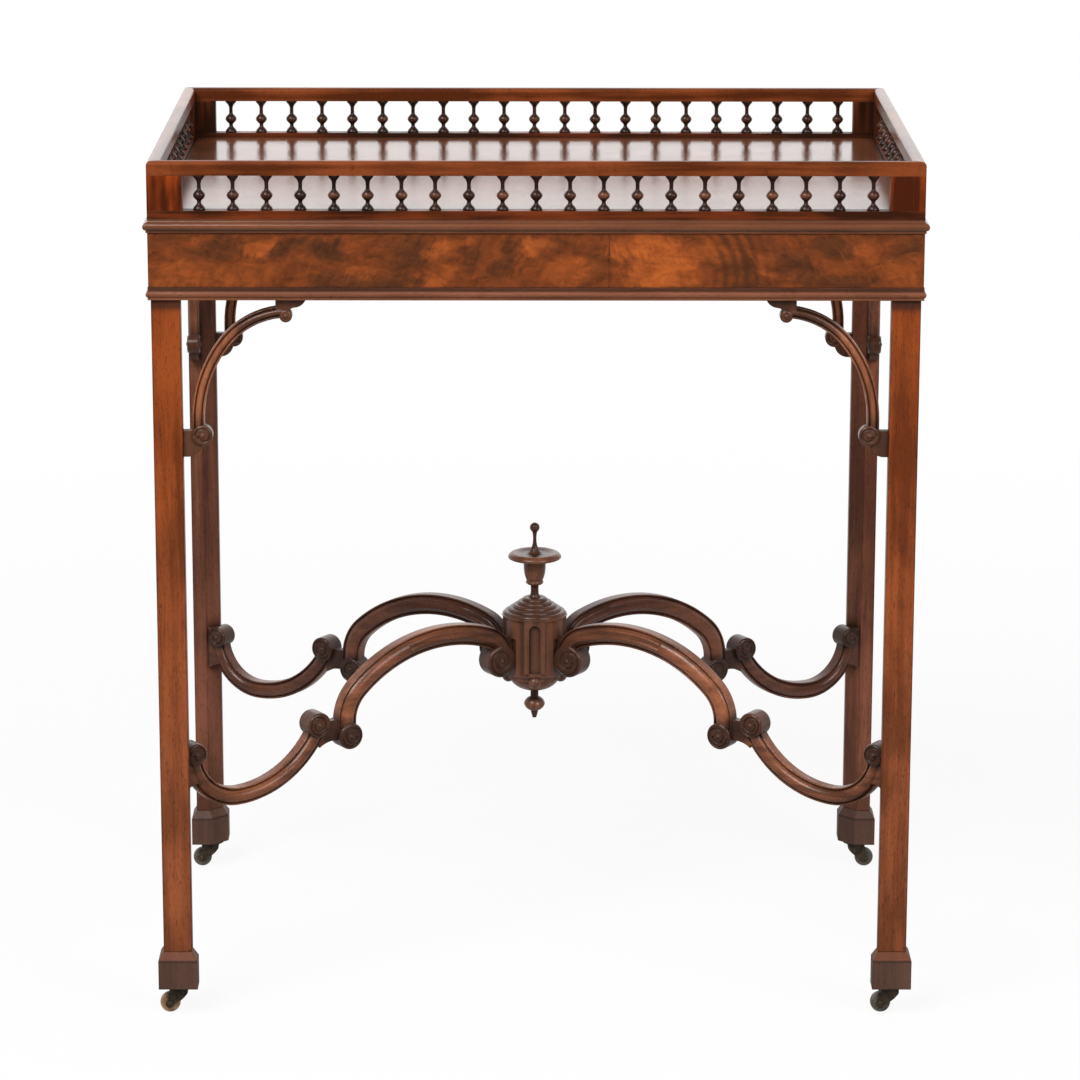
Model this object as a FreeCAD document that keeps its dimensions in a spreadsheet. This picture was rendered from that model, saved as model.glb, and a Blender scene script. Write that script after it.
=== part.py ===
import FreeCAD, Part
import math
import os
import Sketcher

# Tray-top tea table: a spindle gallery round a fixed top, a veneered frieze on four chamfered legs,
# scroll brackets, a carved cross stretcher and four swivel castors.
# Millimetres; x to the right, y to the back, z up; the origin is on the floor under the middle of the table.

Vector = FreeCAD.Vector
doc = FreeCAD.newDocument("tea_table")
sheet = doc.addObject("Spreadsheet::Sheet", "Sizes")

# Driving dimensions
sizes = {
    # frame
    "frame_width": 660,
    "frame_depth": 440,
    "leg_visible_height": 586.5,
    "cut_overrun": 1,
    "joint_clearance": 0.1,
    "turning_clearance": 0.05,
    # gallery
    "gallery_thickness": 11,
    "gallery_stile_width": 30,
    "gallery_opening_height": 30,
    "top_rail_height": 12,
    "top_rail_round": 3.5,
    "bottom_rail_height": 7.5,
    "spindle_flare_radius": 5.3,
    "spindle_flare_height": 4.7,
    "spindle_neck_radius": 2.1,
    "spindle_bead_radius": 5.3,
    "spindle_bead_height": 11,
    "spindle_ring_length": 2.2,
    "spindle_dome_height": 5.8,
    # top board
    "top_edge_height": 11.5,
    "top_bead_projection": 3.8,
    "top_bead_height": 6.6,
    "top_quirk_height": 2.2,
    "top_quirk_projection": 1.2,
    "tray_field_height": 3.3,
    "tray_field_clearance": 0.3,
    # frieze
    "frieze_height": 47,
    "veneer_thickness": 1.8,
    "apron_thickness": 18,
    "tenon_thickness": 7,
    "tenon_length": 12,
    "tenon_shoulder": 5.5,
    "tenon_height": 34,
    "veneer_joint_offset": 62,
    # lower moulding
    "moulding_height": 11,
    "moulding_bead_height": 5.3,
    "moulding_bead_projection": 2.2,
    "moulding_foot_height": 2.2,
    "moulding_fillet_projection": 0.6,
    # legs and feet
    "leg_width": 25,
    "leg_chamfer": 12.5,
    "foot_width": 34.5,
    "foot_chamfer": 14.5,
    "foot_block_height": 26,
    "foot_bevel_height": 7.5,
    "foot_dowel_radius": 5,
    "foot_dowel_length": 18,
    # glue blocks
    "glue_block_length": 60,
    "glue_block_side": 14,
    "glue_block_spread": 150,
    # scroll strips
    "strip_lip": 1.7,
    "strip_quirk": 0.9,
    "volute_groove_radius": 1.05,
    "volute_eye_radius": 2.6,
    "volute_proud": 1.2,
    "volute_round": 2.2,
    "volute_overhang": 0.5,
    # scroll brackets
    "bracket_thickness": 10,
    "bracket_setback": 1.5,
    "bracket_crown": 2.2,
    "bracket_strip_width": 10.4,
    "bracket_strip_offset": 8.3,
    "bracket_line": 13.5,
    "bracket_lower_radius": 110,
    "bracket_upper_radius": 70,
    "bracket_head_drop": 11,
    "bracket_volute_radius": 9,
    "bracket_lobe_radius": 5.6,
    "bracket_tab_width": 15,
    "bracket_tab_height": 25,
    "bracket_head_length": 26,
    "bracket_web_thickness": 7.6,
    # stretcher arms
    "arm_thickness": 17,
    "arm_crown": 4.2,
    "arm_leg_level": 236,
    "arm_lower_width": 16,
    "arm_arch_width": 19,
    "arm_leg_radius": 46,
    "arm_lower_radius": 92,
    "arm_arch_line": 12.4,
    "arm_arch_start_radius": 40,
    "arm_arch_crest_radius": 138,
    "arm_arch_end_radius": 25,
    "arm_scroll_spread": 28,
    "arm_arch_drop": 14,
    "arm_leg_volute_radius": 10,
    "arm_joint_volute_radius": 11.5,
    "arm_arch_volute_radius": 12,
    "arm_boss_volute_radius": 15,
    "arm_web_thickness": 8,
    "arm_pad_thickness": 14,
    "arm_reed_radius": 2.2,
    "arm_pad_rise": 12,
    "arm_pad_drop": 38,
    "arm_dowel_radius": 3.2,
    "arm_dowel_length": 9,
    # stretcher boss, finial and pendant
    "boss_flat_distance": 26,
    "boss_radius": 28.5,
    "boss_body_height": 60,
    "boss_seat_drop": 33.2,
    "boss_bowl_height": 12,
    "boss_bowl_radius": 24,
    "boss_dome_height": 15,
    "boss_dome_step": 3,
    "boss_panel_width": 10.5,
    "boss_panel_height": 46,
    "boss_panel_depth": 3,
    "boss_border_width": 4.5,
    "boss_border_proud": 0.7,
    "boss_drop_radius": 5.8,
    "finial_neck_radius": 3.7,
    "finial_neck_length": 11.5,
    "finial_ring_radius": 7.6,
    "finial_ring_height": 4.6,
    "finial_cup_radius": 9.8,
    "finial_cup_height": 20.4,
    "finial_disc_radius": 24.5,
    "finial_disc_height": 5.6,
    "finial_stem_radius": 3,
    "finial_stem_length": 20,
    "finial_ball_radius": 4.8,
    "pendant_neck_length": 8,
    "pendant_bead_radius": 9.7,
    "pendant_bead_height": 13,
    "pendant_tip_length": 7,
    "pin_radius": 3,
    "pin_length": 10,
    # castors
    "castor_height": 26,
    "plate_radius": 12.5,
    "plate_thickness": 1.8,
    "plate_screw_radius": 1.3,
    "plate_screw_head_radius": 2.3,
    "plate_screw_length": 9,
    "plate_screw_circle": 9.2,
    "swivel_gap": 0.4,
    "swivel_pin_radius": 3,
    "swivel_pin_length": 14,
    "crown_radius": 7.5,
    "wheel_radius": 9,
    "wheel_edge_radius": 8.1,
    "wheel_width": 10,
    "wheel_gap": 0.6,
    "wheel_clearance": 1.2,
    "fork_cheek": 2.2,
    "fork_eye_radius": 3.8,
    "axle_radius": 1.6,
    "axle_head_radius": 2.6,
    "axle_head_height": 0.9,
    "castor_trail": 8.4,
}
front_spindles = 21
side_spindles = 12
plate_screws = 3
dome_rings = 5
quarter_turn = 90
bracket_lower_turn = 38
bracket_upper_turn = 50
arm_lower_turn = 64
arm_arch_start_turn = 48
arm_arch_crest_turn = 20
arm_reed_turn = 16
# where the reeds lie across the band, as shares of its half width, and how deep they are let in
reed_place_shares = (0.5, -0.25)
reed_sink_share = 0.45
# a rounded rim stands out by this share of a full half round
rim_round_share = 0.94
# a quarter circle stands out from its chord by this share of its radius
quarter_bow_share = 1 - math.sqrt(0.5)
# where the castors trailed to when the table was last pushed, in degrees from the x axis
castor_headings = {"front_left": 180, "front_right": 180, "back_left": 180, "back_right": 0}

for row, (alias, number) in enumerate(sizes.items(), start=1):
    sheet.set("A%d" % row, alias)
    sheet.set("B%d" % row, str(number))
    sheet.setAlias("B%d" % row, alias)
doc.recompute()


class Size:
    """A length from the sheet or a sum of such lengths: its number and the formula for features."""

    def __init__(self, number, formula):
        self.number = number
        self.formula = formula

    def __add__(self, other):
        return Size(self.number + plain(other), "(%s + %s)" % (self.formula, formula(other)))

    def __sub__(self, other):
        return Size(self.number - plain(other), "(%s - %s)" % (self.formula, formula(other)))

    def __mul__(self, other):
        return Size(self.number * plain(other), "(%s * %s)" % (self.formula, formula(other)))

    def __truediv__(self, other):
        return Size(self.number / plain(other), "(%s / %s)" % (self.formula, formula(other)))

    def __radd__(self, other):
        return self + other

    def __rmul__(self, other):
        return self * other

    def __rsub__(self, other):
        return self * -1 + other

    def __neg__(self):
        return self * -1


def plain(value):
    return value.number if isinstance(value, Size) else value


def formula(value):
    return value.formula if isinstance(value, Size) else "(%r)" % value


class SheetSizes:
    """The sheet's cells by name."""

    def __getattr__(self, alias):
        return Size(float(sheet.get(alias)), "Sizes." + alias)


size = SheetSizes()
nodes = []


def keep(thing, name):
    """Count a finished sub-part and give it the name of its file."""
    thing.Label = name
    nodes.append(thing)
    return thing


def bind(thing, field, value):
    thing.setExpression(field, formula(value))


def move(thing, x, y, z, turn=0):
    """Turn a piece about the z axis and put its own origin at x, y, z."""
    thing.Placement = FreeCAD.Placement(Vector(0, 0, 0), FreeCAD.Rotation(Vector(0, 0, 1), turn))
    bind(thing, ".Placement.Base.x", x)
    bind(thing, ".Placement.Base.y", y)
    bind(thing, ".Placement.Base.z", z)
    return thing


def box(length, width, height):
    piece = doc.addObject("Part::Box", "Block")
    bind(piece, "Length", length)
    bind(piece, "Width", width)
    bind(piece, "Height", height)
    return piece


def rod(radius, height):
    piece = doc.addObject("Part::Cylinder", "Rod")
    bind(piece, "Radius", radius)
    bind(piece, "Height", height)
    return piece


def joined(pieces):
    whole = doc.addObject("Part::MultiFuse", "Joined")
    whole.Shapes = pieces
    return whole


def grouped(pieces):
    group = doc.addObject("Part::Compound", "Group")
    group.Links = pieces
    return group


def carved(base, tool):
    rest = doc.addObject("Part::Cut", "Carved")
    rest.Base = base
    rest.Tool = tool
    return rest


def origin_plane(body, role):
    return next(feature for feature in body.Origin.OriginFeatures if feature.Role == role)


def edge_ends(bulge):
    """Start and end of a sketch edge as drawn: a sketch arc always runs anticlockwise."""
    return (2, 1) if bulge is not None and plain(bulge) > 0 else (1, 2)


def draw_loop(sketch, corners):
    """Draw a closed outline through corners (x, y) or (x, y, bulge); a bulge makes the edge to that corner an
    arc that stands that far to the left of its chord. Each corner is tied to the sheet."""
    first = sketch.GeometryCount
    count = len(corners)
    spots = [Vector(plain(corner[0]), plain(corner[1]), 0) for corner in corners]
    bulges = [corner[2] if len(corner) > 2 else None for corner in corners]
    edges = []
    for here in range(count):
        there = (here + 1) % count
        if bulges[there] is None:
            edges.append(Part.LineSegment(spots[here], spots[there]))
        else:
            chord = spots[there] - spots[here]
            side = Vector(-chord.y, chord.x, 0).normalize()
            middle = (spots[here] + spots[there]) / 2 + side * plain(bulges[there])
            edges.append(Part.Arc(spots[here], middle, spots[there]))
    sketch.addGeometry(edges)
    for here in range(count):
        there = (here + 1) % count
        start, end = edge_ends(bulges[there])
        next_start = edge_ends(bulges[(there + 1) % count])[0]
        sketch.addConstraint(Sketcher.Constraint("Coincident", first + here, end, first + there, next_start))
    for here, corner in enumerate(corners):
        there = (here + 1) % count
        start = edge_ends(bulges[there])[0]
        for axis, kind, value in ((-2, "DistanceX", corner[0]), (-1, "DistanceY", corner[1])):
            if plain(value) == 0:
                sketch.addConstraint(Sketcher.Constraint("PointOnObject", first + here, start, axis))
            else:
                tie = sketch.addConstraint(
                    Sketcher.Constraint(kind, -1, 1, first + here, start, plain(value)))
                bind(sketch, "Constraints[%d]" % tie, value)
        if bulges[there] is not None:
            run = corners[there][0] - corner[0]
            rise = corners[there][1] - corner[1]
            bulge = bulges[there] if plain(bulges[there]) > 0 else -bulges[there]
            radius = ((run * run + rise * rise) / 4 + bulge * bulge) / (2 * bulge)
            tie = sketch.addConstraint(Sketcher.Constraint("Radius", first + here, plain(radius)))
            bind(sketch, "Constraints[%d]" % tie, radius)


def outline(body, role, loops, lift=None):
    sketch = body.newObject("Sketcher::SketchObject", "Outline")
    sketch.AttachmentSupport = (origin_plane(body, role), [""])
    sketch.MapMode = "FlatFace"
    if lift is not None:
        bind(sketch, ".AttachmentOffset.Base.z", lift)
    for corners in loops:
        draw_loop(sketch, corners)
    return sketch


def new_body():
    return doc.addObject("PartDesign::Body", "Piece")


def pad(body, sketch, length, symmetric=False):
    feature = body.newObject("PartDesign::Pad", "Pad")
    feature.Profile = sketch
    feature.SideType = "Symmetric" if symmetric else "One side"
    bind(feature, "Length", length)
    return feature


def pocket_through(body, sketch):
    feature = body.newObject("PartDesign::Pocket", "Pocket")
    feature.Profile = sketch
    feature.SideType = "Symmetric"
    feature.Type = "ThroughAll"
    return feature


def revolve(body, sketch):
    feature = body.newObject("PartDesign::Revolution", "Turning")
    feature.Profile = sketch
    feature.ReferenceAxis = (sketch, ["V_Axis"])
    feature.Angle = 360
    return feature


def turned(profile):
    """A body of revolution about its own z axis from corners (radius, height) or (radius, height, bulge)."""
    body = new_body()
    revolve(body, outline(body, "XZ_Plane", [profile]))
    return body


# Levels
foot_level = size.castor_height
leg_level = foot_level + size.foot_block_height + size.foot_bevel_height
moulding_level = leg_level + size.leg_visible_height
frieze_level = moulding_level + size.moulding_height
top_level = frieze_level + size.frieze_height
gallery_level = top_level + size.top_edge_height
opening_level = gallery_level + size.bottom_rail_height
top_rail_level = opening_level + size.gallery_opening_height

# Sides, in quarter turns from the front: length along the side, distance of its outer face from the middle
sides = {
    "front": (size.frame_width, size.frame_depth / 2),
    "right": (size.frame_depth, size.frame_width / 2),
    "back": (size.frame_width, size.frame_depth / 2),
    "left": (size.frame_depth, size.frame_width / 2),
}
quarter_directions = ((1, 0), (0, 1), (-1, 0), (0, -1))
# Corners: sign of x, sign of y
corners_of_table = {"front_left": (-1, -1), "front_right": (1, -1), "back_left": (-1, 1), "back_right": (1, 1)}


def side_quarters(side):
    return list(sides).index(side)


def put_on_side(thing, side, along, inward, z):
    """Place a piece by its distance along a side from its middle and inward from the outer face."""
    length, distance = sides[side]
    cos, sin = quarter_directions[side_quarters(side)]
    out = inward - distance
    return move(thing, along * cos - out * sin, along * sin + out * cos, z, quarter_turn * side_quarters(side))


def mitred_strip(side, section, outer, inner, z):
    """A moulded strip along one side, cut at 45 degrees at both ends; section corners are (inward, height)."""
    length = sides[side][0]
    over = size.cut_overrun
    body = new_body()
    pad(body, outline(body, "YZ_Plane", [section]), length + 2 * outer, symmetric=True)
    ends = []
    for sign in (-1, 1):
        far = length / 2 + outer + over
        near = length / 2 - inner - over
        ends.append([(sign * far, -(outer + over)), (sign * far, inner + over), (sign * near, inner + over)])
    cut = outline(body, "XY_Plane", ends)
    pocket_through(body, cut)
    put_on_side(body, side, 0, 0, z)
    return body


# Gallery
def top_rail_section():
    thick = size.gallery_thickness
    tall = size.top_rail_height
    round_off = size.top_rail_round
    bow = round_off * quarter_bow_share
    return [(0, 0), (thick, 0), (thick, tall - round_off), (thick - round_off, tall, -bow),
            (round_off, tall), (0, tall - round_off, -bow)]


def bottom_rail_section():
    thick = size.gallery_thickness
    tall = size.bottom_rail_height
    return [(0, 0), (thick, 0), (thick, tall), (0, tall)]


def stile_spans(side):
    """Start and width of the two stiles of a side; the side stiles stand between the front and back ones."""
    length = sides[side][0]
    hidden = size.gallery_thickness if side in ("left", "right") else 0
    width = size.gallery_stile_width - hidden
    return ((hidden - length / 2, width), (length / 2 - size.gallery_stile_width, width))


def spindle_profile():
    flare = size.spindle_flare_radius
    neck = size.spindle_neck_radius
    bead = size.spindle_bead_radius
    dome = size.spindle_dome_height
    bead_start = dome + size.spindle_ring_length
    bead_end = bead_start + size.spindle_bead_height
    top = size.gallery_opening_height
    bow = size.spindle_bead_height / 8
    lip = size.spindle_flare_height / 3
    return [(0, 0), (flare, 0), (flare, dome / 3), (neck, dome, -dome / 4), (neck, bead_start),
            (bead, bead_start + size.spindle_bead_height / 2, -bow), (neck, bead_end, -bow),
            (neck, top - size.spindle_flare_height), (flare, top - lip, lip / 2), (flare, top), (0, top)]


def spindle_row(side):
    count = front_spindles if side in ("front", "back") else side_spindles
    opening = sides[side][0] - 2 * size.gallery_stile_width
    pitch = opening / count
    body = turned(spindle_profile())
    doc.recompute()
    row = body.newObject("PartDesign::LinearPattern", "Row")
    row.Originals = [body.Tip]
    row.Direction = (next(f for f in body.Origin.OriginFeatures if f.Role == "X_Axis"), [""])
    row.Mode = "Extent"
    row.Occurrences = count
    bind(row, "Length", opening - pitch)
    body.Tip = row
    put_on_side(body, side, (pitch - opening) / 2, size.gallery_thickness / 2, opening_level)
    return body


stiles = []
for side in sides:
    thick = size.gallery_thickness
    keep(mitred_strip(side, top_rail_section(), 0, thick, top_rail_level), "gallery_top_rail_" + side)
    keep(mitred_strip(side, bottom_rail_section(), 0, thick, gallery_level), "gallery_bottom_rail_" + side)
    keep(spindle_row(side), "gallery_spindles_" + side)
    for start, width in stile_spans(side):
        stile = box(width, thick, size.gallery_opening_height)
        stiles.append(put_on_side(stile, side, start, 0, opening_level))
keep(grouped(stiles), "gallery_stiles")


# Top board: two moulded sections across each other leave a bead that runs round all four edges
def top_section(span):
    half = span / 2
    quirk = half + size.top_quirk_projection
    bead_start = size.top_quirk_height
    bead_end = bead_start + size.top_bead_height
    reach = size.top_bead_projection - size.top_quirk_projection
    cove = (size.top_edge_height - bead_end) / 4
    field = half - size.gallery_thickness - size.tray_field_clearance
    top = size.top_edge_height
    raised = top + size.tray_field_height
    right = [(quirk, 0), (quirk, bead_start), (quirk, bead_end, -reach), (half, top, cove), (field, top),
             (field, raised)]
    left = [(-field, raised), (-field, top), (-half, top), (-quirk, bead_end, cove),
            (-quirk, bead_start, -reach), (-quirk, 0)]
    return right + left


def top_board():
    along = new_body()
    pad(along, outline(along, "YZ_Plane", [top_section(size.frame_depth)]),
        size.frame_width + 2 * size.top_bead_projection + 2 * size.cut_overrun, symmetric=True)
    across = new_body()
    pad(across, outline(across, "XZ_Plane", [top_section(size.frame_width)]),
        size.frame_depth + 2 * size.top_bead_projection + 2 * size.cut_overrun, symmetric=True)
    board = doc.addObject("Part::Common", "Board")
    board.Base = along
    board.Tool = across
    return move(board, 0, 0, top_level)


keep(top_board(), "top_board")


# Frieze: tenoned rails, veneer leaves and the bead moulding below them
def tenon_level():
    return moulding_level + (size.moulding_height + size.frieze_height - size.tenon_height) / 2


def frieze_rail(side):
    clear = sides[side][0] - 2 * (size.veneer_thickness + size.leg_width)
    rail = box(clear, size.apron_thickness, size.moulding_height + size.frieze_height)
    put_on_side(rail, side, -clear / 2, size.veneer_thickness, moulding_level)
    long = clear + 2 * size.tenon_length
    tenon = box(long, size.tenon_thickness, size.tenon_height)
    put_on_side(tenon, side, -long / 2, size.veneer_thickness + size.tenon_shoulder, tenon_level())
    return joined([rail, tenon])


def veneer(side):
    length = sides[side][0]
    thick = size.veneer_thickness
    if side == "front":
        joint = size.veneer_joint_offset
        spans = ((-length / 2, length / 2 + joint), (joint, length / 2 - joint))
    elif side == "back":
        spans = ((-length / 2, length),)
    else:
        spans = ((thick - length / 2, length - 2 * thick),)
    leaves = []
    for start, width in spans:
        leaf = box(width, thick, size.frieze_height)
        leaves.append(put_on_side(leaf, side, start, 0, frieze_level))
    return grouped(leaves)


def moulding_section():
    back = size.veneer_thickness
    foot = size.moulding_foot_height
    bead = size.moulding_bead_height
    out = size.moulding_fillet_projection
    tall = size.moulding_height
    reach = size.moulding_bead_projection - out
    return [(back, 0), (back, tall), (-out, tall), (-out, foot + bead), (-out, foot, -reach), (-out, 0)]


for side in sides:
    keep(frieze_rail(side), "frieze_rail_" + side)
    keep(veneer(side), "frieze_veneer_" + side)
    keep(mitred_strip(side, moulding_section(), size.moulding_bead_projection, size.veneer_thickness,
                      moulding_level), "lower_moulding_" + side)


def glue_blocks():
    blocks = []
    for side, places in (("front", (-1, 1)), ("back", (-1, 1)), ("left", (0,)), ("right", (0,))):
        for place in places:
            block = box(size.glue_block_length, size.glue_block_side, size.glue_block_side)
            along = size.glue_block_spread * place - size.glue_block_length / 2
            inward = size.veneer_thickness + size.apron_thickness
            blocks.append(put_on_side(block, side, along, inward, top_level - size.glue_block_side))
    return grouped(blocks)


keep(glue_blocks(), "glue_blocks")


# Legs: a square head between the rails and a shaft with a chamfered inner corner
leg_centre_x = size.frame_width / 2 - size.veneer_thickness - size.leg_width / 2
leg_centre_y = size.frame_depth / 2 - size.veneer_thickness - size.leg_width / 2


def chamfered_square(sign_x, sign_y, width, chamfer):
    """Corners of a square about the origin whose corner towards the middle of the table is cut off."""
    half = width / 2
    near = chamfer - half
    return [(sign_x * half, sign_y * half), (-sign_x * half, sign_y * half), (-sign_x * half, sign_y * near),
            (sign_x * near, -sign_y * half), (sign_x * half, -sign_y * half)]


def square(width):
    half = width / 2
    return [(half, half), (-half, half), (-half, -half), (half, -half)]


# The arms run from the middle of each leg's chamfer to the boss
chamfer_x = leg_centre_x.number - size.leg_width.number / 2 + size.leg_chamfer.number / 2
chamfer_y = leg_centre_y.number - size.leg_width.number / 2 + size.leg_chamfer.number / 2
arm_angle = math.degrees(math.atan2(chamfer_y, chamfer_x))
arm_reach = math.hypot(chamfer_x, chamfer_y)
arm_dowel_level = size.arm_leg_level - size.arm_leg_volute_radius


def arm_turn(sign_x, sign_y):
    """Direction from the boss to a leg, in degrees from the x axis."""
    return math.degrees(math.atan2(sign_y * chamfer_y, sign_x * chamfer_x))


def leg(corner):
    sign_x, sign_y = corners_of_table[corner]
    body = new_body()
    shaft = outline(body, "XY_Plane", [chamfered_square(sign_x, sign_y, size.leg_width, size.leg_chamfer)])
    pad(body, shaft, size.leg_visible_height)
    head = outline(body, "XY_Plane", [square(size.leg_width)], lift=size.leg_visible_height)
    pad(body, head, size.moulding_height + size.frieze_height)
    move(body, sign_x * leg_centre_x, sign_y * leg_centre_y, leg_level)
    clear = size.joint_clearance
    deep = size.tenon_length + clear
    wide = size.tenon_thickness + 2 * clear
    tall = size.tenon_height + 2 * clear
    from_middle = size.leg_width / 2 - size.tenon_shoulder + clear
    tools = []
    for length, width, low_x, low_y in (
            (deep, wide, size.leg_width / 2 - deep, from_middle - wide),
            (wide, deep, from_middle - wide, size.leg_width / 2 - deep)):
        mortise = box(length, width, tall)
        flip_x = sign_x if length is wide else -sign_x
        flip_y = sign_y if width is wide else -sign_y
        start_x = low_x if flip_x > 0 else -low_x - length
        start_y = low_y if flip_y > 0 else -low_y - width
        tools.append(move(mortise, sign_x * leg_centre_x + start_x, sign_y * leg_centre_y + start_y,
                          tenon_level() - clear))
    foot_hole = rod(size.foot_dowel_radius + size.turning_clearance, size.foot_dowel_length + clear)
    tools.append(move(foot_hole, sign_x * leg_centre_x, sign_y * leg_centre_y, leg_level))
    arm_hole = rod(size.arm_dowel_radius + size.turning_clearance, arm_reach + size.arm_dowel_length + clear)
    arm_hole.Placement = FreeCAD.Placement(
        Vector(0, 0, arm_dowel_level.number),
        FreeCAD.Rotation(Vector(0, 0, 1), arm_turn(sign_x, sign_y)) * FreeCAD.Rotation(Vector(0, 1, 0), 90))
    bind(arm_hole, ".Placement.Base.z", arm_dowel_level)
    tools.append(arm_hole)
    return carved(body, joined(tools))


def foot(corner):
    sign_x, sign_y = corners_of_table[corner]
    body = new_body()
    block = outline(body, "XY_Plane", [chamfered_square(sign_x, sign_y, size.foot_width, size.foot_chamfer)])
    pad(body, block, size.foot_block_height)
    doc.recompute()
    lower = outline(body, "XY_Plane", [chamfered_square(sign_x, sign_y, size.foot_width, size.foot_chamfer)],
                    lift=size.foot_block_height)
    upper = outline(body, "XY_Plane", [chamfered_square(sign_x, sign_y, size.leg_width, size.leg_chamfer)],
                    lift=size.foot_block_height + size.foot_bevel_height)
    bevel = body.newObject("PartDesign::AdditiveLoft", "Bevel")
    bevel.Profile = lower
    bevel.Sections = [upper]
    bevel.Ruled = True
    move(body, sign_x * leg_centre_x, sign_y * leg_centre_y, foot_level)
    dowel = rod(size.foot_dowel_radius, size.foot_dowel_length + size.foot_bevel_height)
    move(dowel, sign_x * leg_centre_x, sign_y * leg_centre_y, leg_level - size.foot_bevel_height)
    bores = []
    pin_bore = rod(size.swivel_pin_radius + size.turning_clearance,
                   size.swivel_pin_length + size.joint_clearance)
    bores.append(move(pin_bore, sign_x * leg_centre_x, sign_y * leg_centre_y, foot_level))
    for turn in screw_turns():
        bore = rod(size.plate_screw_radius + size.turning_clearance,
                   size.plate_screw_length + size.joint_clearance)
        x, y = screw_place(turn)
        bores.append(move(bore, sign_x * leg_centre_x + x, sign_y * leg_centre_y + y, foot_level))
    return carved(joined([body, dowel]), joined(bores))


# Scroll work: strips swept along tangent arcs end in volutes with a spiral quirk and an eye
def tangent_path(start, heading, steps):
    """Edges of a path in the xz plane from straight runs (length,) and arcs (radius, turn); left turns count
    positive. Also gives the end point and heading."""
    edges = []
    here = start
    for step in steps:
        ahead = Vector(math.cos(math.radians(heading)), 0, math.sin(math.radians(heading)))
        if len(step) == 1:
            there = here + ahead * step[0]
            edges.append(Part.makeLine(here, there))
        else:
            radius, turn = step
            hand = math.copysign(1, turn)
            centre = here + Vector(-ahead.z, 0, ahead.x) * (radius * hand)
            spots = []
            for share in (1 / 2, 1):
                angle = math.radians(heading - 90 * hand + turn * share)
                spots.append(centre + Vector(math.cos(angle), 0, math.sin(angle)) * radius)
            edges.append(Part.Arc(here, spots[0], spots[1]).toShape())
            there = spots[1]
            heading += turn
        here = there
    return edges, here, heading


def strip(start, heading, steps, width, depth, crown):
    """A moulded strip swept along tangent arcs: on each face a lip at both edges, a quirk inside each lip and a
    crowned band between."""
    edges, end, last = tangent_path(start, heading, steps)
    half = width / 2
    face = depth / 2 - crown
    lip = size.strip_lip.number
    quirk = size.strip_quirk.number
    band = half - lip - quirk
    ahead = Vector(math.cos(math.radians(heading)), 0, math.sin(math.radians(heading)))
    across = Vector(-ahead.z, 0, ahead.x)
    proud = Vector(0, 1, 0)

    def spot(a, b):
        return start + across * a + proud * b

    outline_edges = []
    for sign in (1, -1):
        lip_mid = (half - lip / 2) * sign
        lip_end = (half - lip) * sign
        low = face - quirk
        up = sign
        outline_edges += [
            Part.Arc(spot(half * sign, face * up), spot(lip_mid, (face + lip / 2) * up),
                     spot(lip_end, face * up)).toShape(),
            Part.makeLine(spot(lip_end, face * up), spot((band + quirk / 2) * sign, low * up)),
            Part.makeLine(spot((band + quirk / 2) * sign, low * up), spot(band * sign, face * up)),
            Part.Arc(spot(band * sign, face * up), spot(0, (face + crown) * up),
                     spot(-band * sign, face * up)).toShape(),
            Part.makeLine(spot(-band * sign, face * up), spot(-(band + quirk / 2) * sign, low * up)),
            Part.makeLine(spot(-(band + quirk / 2) * sign, low * up), spot(-lip_end, face * up)),
            Part.Arc(spot(-lip_end, face * up), spot(-lip_mid, (face + lip / 2) * up),
                     spot(-half * sign, face * up)).toShape(),
            Part.makeLine(spot(-half * sign, face * up), spot(-half * sign, -face * up)),
        ]
    section = Part.Wire(outline_edges)
    return Part.Wire(edges).makePipeShell([section], True, False), end, last


def spiral_quirk(middle, reach, step, half_turns, groove):
    """A round cutter wound inwards by half circles of shrinking radius, from a point to the right of the middle."""
    here = middle + Vector(reach, 0, 0)
    circle = Part.Wire(Part.makeCircle(groove, here, Vector(0, 0, 1)))
    edges = []
    for half_turn in range(half_turns):
        ahead = -1 if half_turn % 2 == 0 else 1
        there = here + Vector(2 * reach * ahead, 0, 0)
        edges.append(Part.Arc(here, (here + there) / 2 - Vector(0, 0, reach * ahead), there).toShape())
        here = there
        reach -= step
    return Part.Wire(edges).makePipeShell([circle], True, False)


def volute(centre, radius, depth, start_angle, hand, half_turns=3):
    """A scroll's round end: a cushioned disc with a raised eye and a spiral quirk on both faces. The quirk starts
    at the given angle and winds in anticlockwise for a positive hand."""
    thick = depth + 2 * size.volute_proud.number
    across = Vector(0, 1, 0)
    disc = Part.makeCylinder(radius, thick, across * (-thick / 2), across)
    rim = [edge for edge in disc.Edges if isinstance(edge.Curve, Part.Circle)]
    rim_round = size.volute_round.number
    groove = size.volute_groove_radius.number
    eye = size.volute_eye_radius.number
    widest = radius - rim_round - groove / 2
    eyes = []
    quirks = []
    for face in (-1, 1):
        middle = across * (face * thick / 2)
        eyes.append(Part.makeSphere(eye, middle - across * (face * eye / 2)))
        if half_turns:
            step = (widest - eye - groove) / half_turns
            quirks.append(spiral_quirk(middle, widest, step, half_turns, groove))
    whole = disc.makeFillet(rim_round, rim).fuse(eyes)
    if quirks:
        whole = whole.cut(quirks)
    if hand < 0:
        whole = whole.mirror(Vector(0, 0, 0), Vector(0, 0, 1))
    whole.rotate(Vector(0, 0, 0), across, -start_angle)
    whole.translate(centre)
    return whole


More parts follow.
